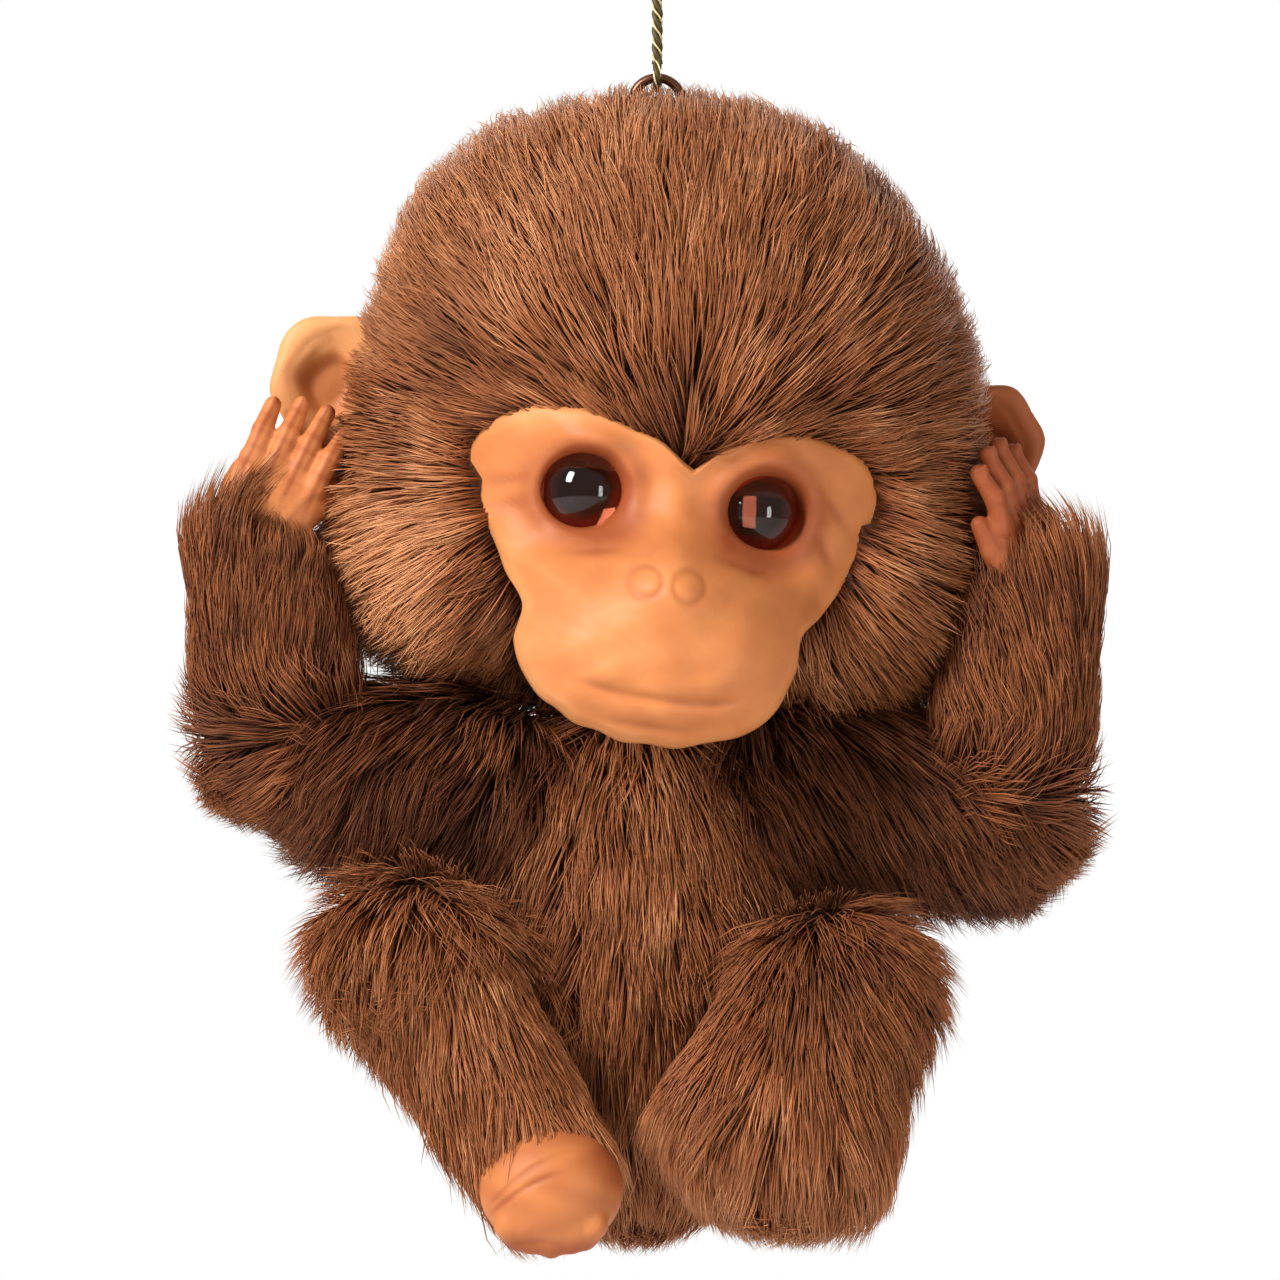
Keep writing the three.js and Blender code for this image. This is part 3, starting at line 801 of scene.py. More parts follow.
@dataclass
class CrownEye:
    """The wire eye that stands half out of the crown."""

    ring_radius: float = 2.15
    wire: float = 0.425
    sunk: float = 0.25
    shank: float = 8.5
    twists: float = 7.0
    leg_spread: float = 0.2
    leg_wire: float = 0.22

    def build(self) -> None:
        """Bends the ring and twists the two wires of its shank."""
        low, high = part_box("screw_eye")
        top = Vector(((low.x + high.x) / 2, (low.y + high.y) / 2, high.z)) / MM
        centre = top - Vector((0, 0, self.ring_radius + self.wire + self.sunk))
        bpy.ops.object.select_all(action="DESELECT")
        bpy.ops.mesh.primitive_torus_add(
            major_radius=self.ring_radius, minor_radius=self.wire, major_segments=96, minor_segments=20,
            location=centre, rotation=(math.pi / 2, 0, 0),
        )
        ring = bpy.context.object
        bpy.ops.object.transform_apply(location=True, rotation=True, scale=True)
        legs = []
        for phase in (0.0, math.pi):
            marks = np.linspace(0, 1, 90)
            angle = 2 * np.pi * self.twists * marks * 0.5 + phase
            line = np.column_stack([
                centre.x + self.leg_spread * np.cos(angle), centre.y + self.leg_spread * np.sin(angle),
                centre.z - self.ring_radius - self.shank * marks,
            ])
            legs.append(self.wire_tube(line, self.leg_wire))
        eye = join([ring, *legs], "wire_eye")
        move_vertices(eye, vertices_of(eye) * MM)
        smooth_faces(eye)
        dress(eye, COPPER)
        mount_piece(eye, "monkey", "screw_eye")

    @staticmethod
    def wire_tube(line: Points, radius: float, sides: int = 12) -> bpy.types.Object:
        """A closed round wire along a line that runs down."""
        angles = [2 * math.pi * k / sides for k in range(sides)]
        ring = np.array([[math.cos(a), math.sin(a), 0] for a in angles])
        points = (line[:, None, :] + ring[None] * radius).reshape(-1, 3)
        index = np.arange(len(points)).reshape(len(line), sides)
        quads = np.array([
            (index[i, k], index[i + 1, k], index[i + 1, (k + 1) % sides], index[i, (k + 1) % sides])
            for i in range(len(line) - 1) for k in range(sides)
        ])
        return mesh_from("wire_leg", points, [quads, index[0][None], index[-1, ::-1][None]])


# ---------------------------------------------------------------- the head's frame and the face
@dataclass
class HeadFrame:
    """Where the head is and how it leans, so that the face can be made upright and centred."""

    roll: float = 7.0
    yaw: float = 4.0

    @property
    def matrix(self) -> Matrix:
        """From the head's own frame to the row frame, in metres."""
        lean = Matrix.Rotation(math.radians(self.roll), 4, "Y")
        turn = Matrix.Rotation(math.radians(self.yaw), 4, "Z")
        return Matrix.Translation(node_middle("head_core")) @ lean @ turn

    def inside(self, points: Points) -> Points:
        """Row-frame points in metres, in the head's own frame in millimetres."""
        return transformed(points, self.matrix.inverted()) / MM


@dataclass
class FaceForm:
    """The moulded front of the face as a depth over its outline, in the head's own frame."""

    face: tuple[float, float, float] = (23.6, 22.4, 25.1)
    muzzle_centre: tuple[float, float, float] = (0, -17.0, -20.2)
    muzzle: tuple[float, float, float] = (14.8, 12.6, 10.4)
    muzzle_rise: float = 15.5
    eye_side: float = 7.9
    eye_height: float = -7.0
    middle: float = -13.0
    nostril_side: float = 1.85
    nostril_height: float = -14.2
    half_outline: tuple[tuple[float, float], ...] = (
        (0, -4.2), (3.2, -1.8), (7.8, -0.1), (12.2, 0), (16, -1.3), (18.4, -4.7), (17.4, -8.6), (15.8, -12),
        (14, -15), (12.2, -17.2), (12.5, -20.5), (11.1, -23.6), (7.6, -26.3), (3.2, -27.7), (0, -28),
    )
    pulls: tuple[tuple[float, ...], ...] = (
        (1.2, 0, -4.2, 5, 4), (1.0, -15, -12, 4, 4), (-0.9, 12, -21.5, 4, 3.5),
    )
    # Painted highlights on the left of the muzzle, between the nostrils and on the left brow, and painted
    # shade under the eyes.
    painted_light_spots: tuple[tuple[float, ...], ...] = (
        (-0.16, -5.5, -20.0, 4.2, 3.4), (-0.16, -0.2, -13.0, 1.4, 1.8), (-0.12, -11.0, -1.4, 5.0, 1.4),
        (0.16, 0, -10.4, 6.5, 1.6),
    )
    creases: tuple[tuple[float, float, float, float], ...] = (
        (-16.4, -7.6, -12.2, -6.2), (-16.0, -9.4, -12.4, -8.6), (12.0, -4.2, 16.2, -8.6),
        (12.4, -8.0, 14.6, -11.6), (-9.5, -12.6, -3.4, -11.6), (3.4, -11.4, 9.5, -12.8),
        (-6.0, -26.3, 5.0, -26.4),
    )

    def outline(self, count: int) -> Points:
        """The outline as a closed ring of points, from the brow's middle round the right side."""
        half = [np.array(p, float) for p in self.half_outline]
        ring = half + [np.array((-p[0], p[1])) for p in half[-2:0:-1]]
        line = smooth_line([(*p, 0.0) for p in [*ring, ring[0]]], 0.2)[:, :2]
        for pull, *place in self.pulls:
            line[:, 0] += pull * hill(line[:, 0], line[:, 1], *place)
        line[:, 1] += 0.12 * np.sin(line[:, 0] * 1.3 + 2 * np.sin(line[:, 1] * 0.6))
        rel = line - np.array([0, self.middle])
        angle = np.unwrap(np.arctan2(rel[:, 0], rel[:, 1]))
        marks = np.linspace(angle[0], angle[0] + 2 * np.pi, count, endpoint=False)
        reach = np.interp(marks, angle, np.hypot(rel[:, 0], rel[:, 1]), period=2 * np.pi)
        return np.column_stack([np.sin(marks) * reach, self.middle + np.cos(marks) * reach])

    def reach(self, u: Points, w: Points) -> Points:
        """How far out a point is: 0 at the face's middle, 1 on the outline, more outside."""
        ring = self.outline(360)
        rel = ring - np.array([0, self.middle])
        ring_angle = np.arctan2(rel[:, 0], rel[:, 1])
        order = np.argsort(ring_angle)
        angle = np.arctan2(u, w - self.middle)
        edge = np.interp(angle, ring_angle[order], np.hypot(rel[:, 0], rel[:, 1])[order], period=2 * np.pi)
        return np.hypot(u, w - self.middle) / edge

    def mouth(self, u: Points) -> Points:
        """The height of the mouth crease."""
        return -24.0 + 0.016 * u * u

    def eye_frame(self, u: Points, w: Points, side: int) -> tuple[Points, Points]:
        """Distance from an eye's middle, and the direction: 1 above it and -1 below."""
        along, up = u - side * self.eye_side, w - self.eye_height
        away = np.hypot(along, up * 1.04)
        return away, up / np.maximum(away, 0.1)

    def nostrils(self, u: Points, w: Points) -> tuple[Points, Points]:
        """Height of the two round nostril lumps, and painted shade in the grooves round them."""
        height, dark = np.zeros_like(u), np.zeros_like(u)
        for side in (-1, 1):
            away = np.hypot(u + 0.4 - side * self.nostril_side, w - self.nostril_height)
            groove = np.exp(-(((away - 1.35) / 0.32) ** 2))
            height += 0.22 * np.exp(-((away / 1.0) ** 2)) - 0.12 * groove
            dark += 0.3 * groove
        return height, dark

    def wrinkles(self, u: Points, w: Points) -> Points:
        """Fine creases outside the eyes, on the brow and round the muzzle, from 0 to 1."""
        total = np.zeros_like(u)
        for x0, z0, x1, z1 in self.creases:
            way = np.array([x1 - x0, z1 - z0])
            share = np.clip(((u - x0) * way[0] + (w - z0) * way[1]) / way.dot(way), 0, 1)
            away = np.hypot(u - x0 - share * way[0], w - z0 - share * way[1])
            total += np.exp(-((away / 0.42) ** 2)) * np.sin(np.pi * share)
        return np.minimum(total, 1)

    def forward(self, u: Points, w: Points) -> Points:
        """How far the surface stands forward of the head's middle."""
        def skull() -> Points:
            """The front of the head's ball."""
            left = 1 - (u / self.face[0]) ** 2 - (w / self.face[2]) ** 2
            return self.face[1] * np.sqrt(np.maximum(left, 0.0)) - 14 * np.maximum(-left, 0)

        def snout() -> Points:
            """The muzzle: round below, and running out softly towards the bridge above."""
            _, forward, middle = self.muzzle_centre
            rise = (w - middle) / np.where(w > middle, self.muzzle_rise, self.muzzle[2])
            left = 1 - (u / self.muzzle[0]) ** 2 - rise ** 2
            power = 0.5 + 0.9 * smooth_step(0.0, 0.8, rise)
            return -forward + self.muzzle[1] * np.maximum(left, 0.0) ** power - 6 * np.maximum(-left, 0)

        head, muzzle = skull(), snout()
        blend = 2.2
        out = blend * np.logaddexp(head / blend, muzzle / blend)
        bridge = 1.5 * hill(u, w, 0, -12.9, 5.4, 3.4) + 1.1 * hill(u, w, 0, -8.6, 2.6, 5.0)
        out += bridge + self.nostrils(u, w)[0]
        for side in (-1, 1):
            away, up = self.eye_frame(u, w, side)
            lid = 0.75 + 0.45 * up
            out -= 1.7 * np.exp(-((away / 6.0) ** 2))
            out += lid * np.exp(-(((away - 4.3) / 1.15) ** 2))
            out -= 3.0 * (1 - smooth_step(2.9, 3.6, away))
            brow = 1.2 * hill(u, w, side * 9.0, -1.8, 5.4, 1.9)
            out += brow + 0.7 * hill(u, w, side * 13.0, -12.4, 2.8, 3.0)
            out += 0.4 * hill(u, w, side * 6.2, -19.5, 3.4, 2.6)
        lip = w - self.mouth(u)
        open_here = 1 - smooth_step(4.5, 8.5, np.abs(u))
        out -= 0.32 * np.exp(-((lip / 0.36) ** 2)) * open_here
        out += 0.28 * np.exp(-(((lip - 1.3) / 0.9) ** 2)) * open_here
        out += 0.3 * np.exp(-(((lip + 1.2) / 0.8) ** 2)) * open_here
        out -= 0.2 * self.wrinkles(u, w)
        out += 0.13 * np.sin(u * 0.9 + 1.3 * np.sin(w * 0.7)) * np.cos(w * 0.8 + np.sin(u * 0.5))
        out -= 0.9 * smooth_step(0.94, 1.0, self.reach(u, w)) ** 2
        return out

    def tone_and_painted_light(self, u: Points, w: Points) -> Points:
        """Mottled tone with painted highlights and painted shade, from 0 at the lightest to 1 at the darkest.
        """
        tone = 0.44 + 0.07 * np.sin(u * 0.7 + 2 * np.sin(w * 0.45)) * np.cos(w * 0.9 + np.sin(u * 0.6))
        tone += 0.03 * np.sin(u * 2.3 + 2 * np.sin(w * 1.3)) * np.sin(w * 2.7 + np.sin(u * 1.9))
        # Painted highlights and painted shade at the listed spots.
        for amount, *place in self.painted_light_spots:
            tone += amount * hill(u, w, *place)
        for side in (-1, 1):
            # Painted shade in each eye socket: a dark ring at the eye's edge and a broader band, deeper
            # below.
            away, up = self.eye_frame(u, w, side)
            tone += 0.62 * np.exp(-(((away - 3.5) / 0.5) ** 2))
            tone += (0.34 - 0.08 * up) * np.exp(-(((away - 4.5) / 1.3) ** 2))
            tone += 0.6 * (1 - smooth_step(2.8, 3.7, away))
        lip = w - self.mouth(u)
        # Painted shade in the mouth crease, the nostril grooves and the wrinkles.
        tone += 0.2 * np.exp(-((lip / 0.4) ** 2)) * (1 - smooth_step(4.5, 8.5, np.abs(u)))
        tone += self.nostrils(u, w)[1] * 0.7 + 0.24 * self.wrinkles(u, w)
        # Painted highlight along the mask's edge.
        tone -= 0.16 * smooth_step(0.88, 1.0, self.reach(u, w))
        # Painted shade towards the right, the side away from the lamp.
        tone += 0.10 * smooth_step(-2.0, 15.0, u)
        return np.clip(tone, 0, 1)


@dataclass
class Face:
    """The vinyl mask and the two domed eyes."""

    head: HeadFrame
    form: FaceForm
    sectors: int = 252
    rings: int = 66
    wall: float = 1.1
    eye_radius: float = 3.6
    splay: float = 14.0
    right_inward: float = 0.45

    def build(self) -> None:
        """Makes the mask and both eyes."""
        self.mask()
        for side in Side:
            self.eye(side)

    def mask(self) -> None:
        """Moulds the mask as a ringed sheet, and gives it its wall."""
        edge = self.form.outline(self.sectors) - np.array([0, self.form.middle])
        marks = np.linspace(0, 1, self.rings + 1)[1:] ** 0.9
        flat = np.vstack([[[0, 0]], (marks[:, None, None] * edge[None]).reshape(-1, 2)])
        u, w = flat[:, 0], flat[:, 1] + self.form.middle
        points = np.column_stack([u, -self.form.forward(u, w), w])
        index = 1 + np.arange(self.rings * self.sectors).reshape(self.rings, self.sectors)
        after = np.roll(index, -1, 1)
        fan = np.column_stack([np.zeros(self.sectors, int), index[0], after[0]])
        quads = np.stack([index[:-1], index[1:], after[1:], after[:-1]], -1).reshape(-1, 4)
        mask = mesh_from("vinyl_mask", points, [fan, quads])
        put_attribute(mask, "tone_and_painted_light", self.form.tone_and_painted_light(u, w))
        face_outward(mask)
        if mask.data.polygons[len(mask.data.polygons) // 2].normal.y > 0:
            mask.data.flip_normals()
        apply_modifier(mask, "SOLIDIFY", thickness=self.wall, offset=-1.0)
        to_metres(mask, self.head.matrix)
        vinyl_piece(mask, "monkey", "face_mask")

    def eye_place(self, side: Side) -> Matrix:
        """From an eye's frame, which looks along -Y, to the row frame, in metres."""
        low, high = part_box(f"eye_lens_{side.value}")
        turn = Matrix.Rotation(math.radians(side.out * self.splay), 4, "Z")
        middle = self.head.matrix.inverted() @ ((low + high) / 2)
        axis = turn @ Vector((0, -1, 0))
        back = middle - axis * 1.85 * MM
        if side is Side.RIGHT:
            back.x -= self.right_inward * MM
        return self.head.matrix @ Matrix.Translation(back) @ turn

    def eye(self, side: Side) -> None:
        """Turns one dome and its painted back."""
        place = self.eye_place(side)
        dome = self.turned("dome", [(0, 0), (self.eye_radius, 0), *[
            (self.eye_radius * math.cos(a), 0.5 + 3.3 * math.sin(a))
            for a in np.linspace(0, math.pi / 2, 24)[:-1]
        ], (0, 3.8)])
        dome.name = f"eye_dome_{side.value}"
        to_metres(dome, place)
        dress(dome, DomeFinish())
        mount_piece(dome, "monkey", f"eye_lens_{side.value}")
        flat = [(self.eye_radius * t, -0.12) for t in np.linspace(1, 0, 14)]
        stem = [(0, -6), (1.1, -6), (1.1, -0.9), (self.eye_radius, -0.9)]
        back = self.turned("iris", stem + flat)
        back.name = f"eye_back_{side.value}"
        places = vertices_of(back)
        away = np.hypot(places[:, 0], places[:, 2]) / self.eye_radius
        # Painted glow: the iris reads further out, so brighter red, on its lower side away from the lamp.
        low = (places[:, 0] * (-0.35 * side.out) - places[:, 2]) / self.eye_radius
        glow = 0.74 + 0.26 * smooth_step(-0.7, 1.0, low)
        put_attribute(back, "iris_reach_and_glow", np.where(places[:, 1] < 0.5, away * glow, 0.7))
        to_metres(back, place)
        dress(back, IrisFinish())
        mount_piece(back, "monkey", f"eye_iris_{side.value}")

    @staticmethod
    def turned(name: str, profile: Sequence[tuple[float, float]], sides: int = 64) -> bpy.types.Object:
        """Turns a profile of (radius, height) about -Y into a closed form."""
        rows = [p for p in profile if p[0] > 0]
        ring = np.linspace(0, 2 * np.pi, sides, endpoint=False)
        body = np.vstack([
            np.column_stack([r * np.cos(ring), np.full(sides, -h), r * np.sin(ring)]) for r, h in rows
        ])
        points = np.vstack([body, [[0, -profile[0][1], 0]], [[0, -profile[-1][1], 0]]])
        index = np.arange(len(rows) * sides).reshape(len(rows), sides)
        after = np.roll(index, -1, 1)
        quads = np.stack([index[:-1], index[1:], after[1:], after[:-1]], -1).reshape(-1, 4)
        first = np.column_stack([np.full(sides, len(body)), index[0], after[0]])
        last = np.column_stack([np.full(sides, len(body) + 1), after[-1], index[-1]])
        obj = mesh_from(name, points, [quads, first, last])
        face_outward(obj)
        bpy.ops.object.shade_smooth_by_angle(angle=math.radians(40))
        return obj


# ---------------------------------------------------------------- ears, hands and feet
@dataclass
class Ear:
    """A cupped vinyl ear with a rolled rim."""

    side: Side
    head: HeadFrame
    cup: tuple[float, float, float] = (5.0, 2.7, 5.9)
    rim: float = 0.95

    def centre(self) -> Vector:
        """The middle of the cup, in the head's own frame in millimetres."""
        low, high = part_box(f"ear_{self.side.value}")
        edge = high.x if self.side is Side.RIGHT else low.x
        across = edge - self.side.out * (self.cup[0] + 0.3) * MM
        rise = 0.8 * MM if self.side is Side.LEFT else 0.0
        middle = np.array([(across, (low.y + high.y) / 2, (low.z + high.z) / 2 + rise)])
        return Vector(self.head.inside(middle)[0])

    def build(self) -> None:
        """Builds the ear from balls, scoops its hollow and paints it."""
        out, centre = self.side.out, self.centre()
        wide, _, tall = self.cup
        forms = [
            ball(centre, self.cup, 32),
            ball(centre + Vector((-out * 3.8, 0.2, -1.4)), (3.4, 2.2, 4.2)),
            ball(centre + Vector((-out * 0.4, -0.7, -tall + 0.9)), (2.3, 1.5, 1.5)),
        ]
        for step in range(34):
            angle = math.radians(-75 + step * 6.6)
            reach = 1 + 0.04 * math.sin(3 * angle)
            place = Vector((out * wide * 0.88 * math.cos(angle), -1.0, tall * 0.9 * math.sin(angle))) * reach
            forms.append(ball(centre + place, (self.rim, self.rim * 1.25, self.rim), 12))
        ear = knead(join(forms, f"vinyl_ear_{self.side.value}"), 0.2, 5)
        places = vertices_of(ear)
        rel = places - np.array(centre)
        across = np.hypot(rel[:, 0] / (wide * 0.76), rel[:, 2] / (tall * 0.76))
        front = smooth_step(-0.4, 1.2, -rel[:, 1])
        scoop = (1 - smooth_step(0.3, 1.05, across)) * front
        upper = smooth_step(-1.0, 2.0, rel[:, 2] - out * rel[:, 0])
        fold = np.exp(-(((across - 0.55) / 0.2) ** 2)) * front * upper
        places[:, 1] += 2.3 * scoop - 0.5 * fold
        places += 0.22 * np.sin(rel[:, ::-1] * 1.1 + 1.7 * np.sin(rel * 0.6))
        move_vertices(ear, places)
        apply_modifier(ear, "SMOOTH", factor=0.4, iterations=2)
        # Painted light: the left ear lighter and the right one in painted shade, painted shade in the hollow,
        # a painted highlight on the fold, lighter towards the top.
        base = 0.14 if self.side is Side.LEFT else 0.95
        put_attribute(ear, "tone_and_painted_light", np.clip(base + 0.42 * scoop - 0.2 * fold - 0.02 * rel[:, 2], 0, 1))
        to_metres(ear, self.head.matrix)
        vinyl_piece(ear, "monkey", f"ear_{self.side.value}")


@dataclass
class Hand:
    """A moulded hand laid over the ear, the back of it to the front."""

    side: Side
    spacing: float = 2.0
    knuckle_height: float = 8.8
    reach: float = 15.6

    @property
    def lean(self) -> tuple[float, float, float]:
        """Degrees that the fingers go back, that they go in, and that the hand turns about its length."""
        return (-9, 25, 0) if self.side is Side.LEFT else (9, 14, 62)

    def place(self) -> Matrix:
        """From the hand's frame, wrist at the origin and fingers up, to the row frame."""
        elbow = joint_point(f"elbow_{self.side.value}")
        end = far_cap(f"forearm_wire_{self.side.value}", elbow)
        start = end + (end - elbow).normalized() * 1.5 * MM + Vector((0, 0, 3.4 * MM))
        start += Vector((-2.5, 0, 0.2) if self.side is Side.LEFT else (0.3, 0, -1.4)) * MM
        tilt, inward, about = self.lean
        back = Matrix.Rotation(math.radians(tilt), 4, "X")
        turn = Matrix.Rotation(math.radians(-self.side.out * inward), 4, "Y")
        return Matrix.Translation(start) @ back @ turn @ Matrix.Rotation(math.radians(about), 4, "Z")

    def finger(self, number: int) -> list[bpy.types.Object]:
        """One finger: knuckle, two lengths, the joint between them and a nail."""
        across = (number - 1.5) * self.spacing
        reach = self.reach - abs(number - 1.6) * 1.1
        knuckle = (across, -0.45, self.knuckle_height)
        bend = (across * 1.06, -0.55, (self.knuckle_height + reach) / 2)
        tip = (across * 1.14, 0.3, reach)
        nail = (across * 1.14, -0.42, reach + 0.1)
        return [
            ball(knuckle, (1.2, 1.05, 1.3), 16), capsule(knuckle, bend, 1.02, 0.98, 16),
            ball(bend, (1.04, 1.04, 1.1), 16), capsule(bend, tip, 0.95, 0.82, 16),
            ball(nail, (0.5, 0.3, 0.72), 12),
        ]

    def build(self) -> None:
        """Builds palm, fingers, knuckles and thumb, and melts them into one skin."""
        out = self.side.out
        forms = [
            ball((0, 0.1, 6.4), (4.6, 1.75, 4.9)),
            ball((0, 0.2, 1.6), (3.3, 1.7, 4.8)),
            capsule((-out * 2.4, 0.5, 4.4), (-out * 3.9, 0.6, 7.2), 1.25, 1.1),
            capsule((-out * 3.9, 0.6, 7.2), (-out * 4.4, 0.9, 9.6), 1.05, 0.8),
        ]
        for number in range(4):
            forms += self.finger(number)
            across = (number - 1.5) * self.spacing
            knuckle = (across, -0.75, self.knuckle_height)
            forms.append(capsule((across * 0.55, -1.1, 4.2), knuckle, 0.55, 0.7, 12))
        hand = knead(join(forms, f"vinyl_hand_{self.side.value}"), 0.2, 5)
        places = vertices_of(hand)
        # Painted shade between the fingers and in the knuckle wrinkles.
        gap = np.abs((places[:, 0] / self.spacing / 1.08) % 1.0 - 0.5) * 2
        between = smooth_step(0.62, 1.0, 1 - gap) * smooth_step(4.8, 8.4, places[:, 2])
        wrinkle = np.sin(places[:, 2] * 2.1) ** 8 * smooth_step(7.0, 9.0, places[:, 2])
        # The right hand is darker than the left: painted shade. The blotches are the vinyl's own tone.
        base = 0.5 if self.side is Side.LEFT else 1.0
        blotch = 0.08 * np.sin(places[:, 0] * 1.3 + 2 * np.sin(places[:, 2] * 0.8))
        tone_and_painted_light = base + 0.45 * between + 0.16 * wrinkle + blotch
        put_attribute(hand, "tone_and_painted_light", np.clip(tone_and_painted_light, 0, 1))
        to_metres(hand, self.place())
        vinyl_piece(hand, f"{self.side.value}_forearm", f"hand_{self.side.value}")


@dataclass
class Foot:
    """A moulded foot whose toes curl under towards the front."""

    side: Side
    creases: tuple[tuple[float, float, float], ...] = ((3.0, 0.45, 0.6), (1.5, 0.34, 0.9), (-4.2, -0.1, 0.5))

    def build(self) -> None:
        """Builds the ball of the foot and its curled toes, and creases them."""
        name = self.side.value
        low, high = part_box(f"foot_{name}")
        half = (high - low) / MM / 2
        centre = (low + high) / MM / 2 + Vector((0.5, 0, 0.5) if self.side is Side.LEFT else (1.4, -1.2, 1.8))
        forms = [ball((0, 0.5, 0.2), (half.x * 1.09, half.y * 0.9, half.z * 0.98), 32)]
        for toe in range(5):
            angle = (toe - 2) * 0.5
            root = (half.x * 0.76 * math.sin(angle), -half.y * 0.34, -half.z * 0.5)
            tip = (half.x * 0.6 * math.sin(angle), -half.y * 0.14, -half.z * (0.84 - 0.06 * abs(toe - 2)))
            forms.append(capsule(root, tip, 1.35, 1.2, 16))
        foot = knead(join(forms, f"vinyl_foot_{name}"), 0.22, 24)
        places = vertices_of(foot)
        front = smooth_step(0.5, 3.0, -places[:, 1])
        # Dark crease lines across the toes, also pressed in below: painted shade in the creases.
        dark = np.zeros(len(places))
        for height, slope, depth in self.creases:
            line = places[:, 2] - height - slope * places[:, 0] + 0.06 * places[:, 0] ** 2
            dark += depth * np.exp(-((line / 0.3) ** 2)) * front * smooth_step(2.5, -1.0, places[:, 0])
        # Painted shade underneath and towards the upper right. The blotches are the vinyl's own tone.
        under = smooth_step(-3.4, -5.2, places[:, 2])
        wave = np.sin(places[:, 0] * 0.9 + 2 * np.sin(places[:, 2] * 0.9))
        blotch = 0.11 * wave * np.cos(places[:, 2] * 0.8)
        rim = smooth_step(1.5, 6.0, places[:, 0] * 0.9 + places[:, 2] * 0.5)
        put_attribute(foot, "tone_and_painted_light", np.clip(0.58 + 0.3 * dark + 0.4 * under + 0.3 * rim + blotch, 0, 1))
        places[:, 1] += 0.22 * np.minimum(dark, 1)
        move_vertices(foot, (places + np.array(centre)) * MM)
        vinyl_piece(foot, f"{name}_leg", f"foot_{name}")


# ---------------------------------------------------------------- fur
@dataclass(frozen=True)
class Pile:
    """How the pile of one patch is cut and combed. Lengths are millimetres."""

    length: float = 8.5
    width: float = 0.225
    lift: float = 0.62
    tip_lift: float = 0.05
    hug: float = 0.55
    clump: float = 0.55
    clump_of: int = 22
    stray: float = 0.16


Comb = Callable[[Points, Points], Points]


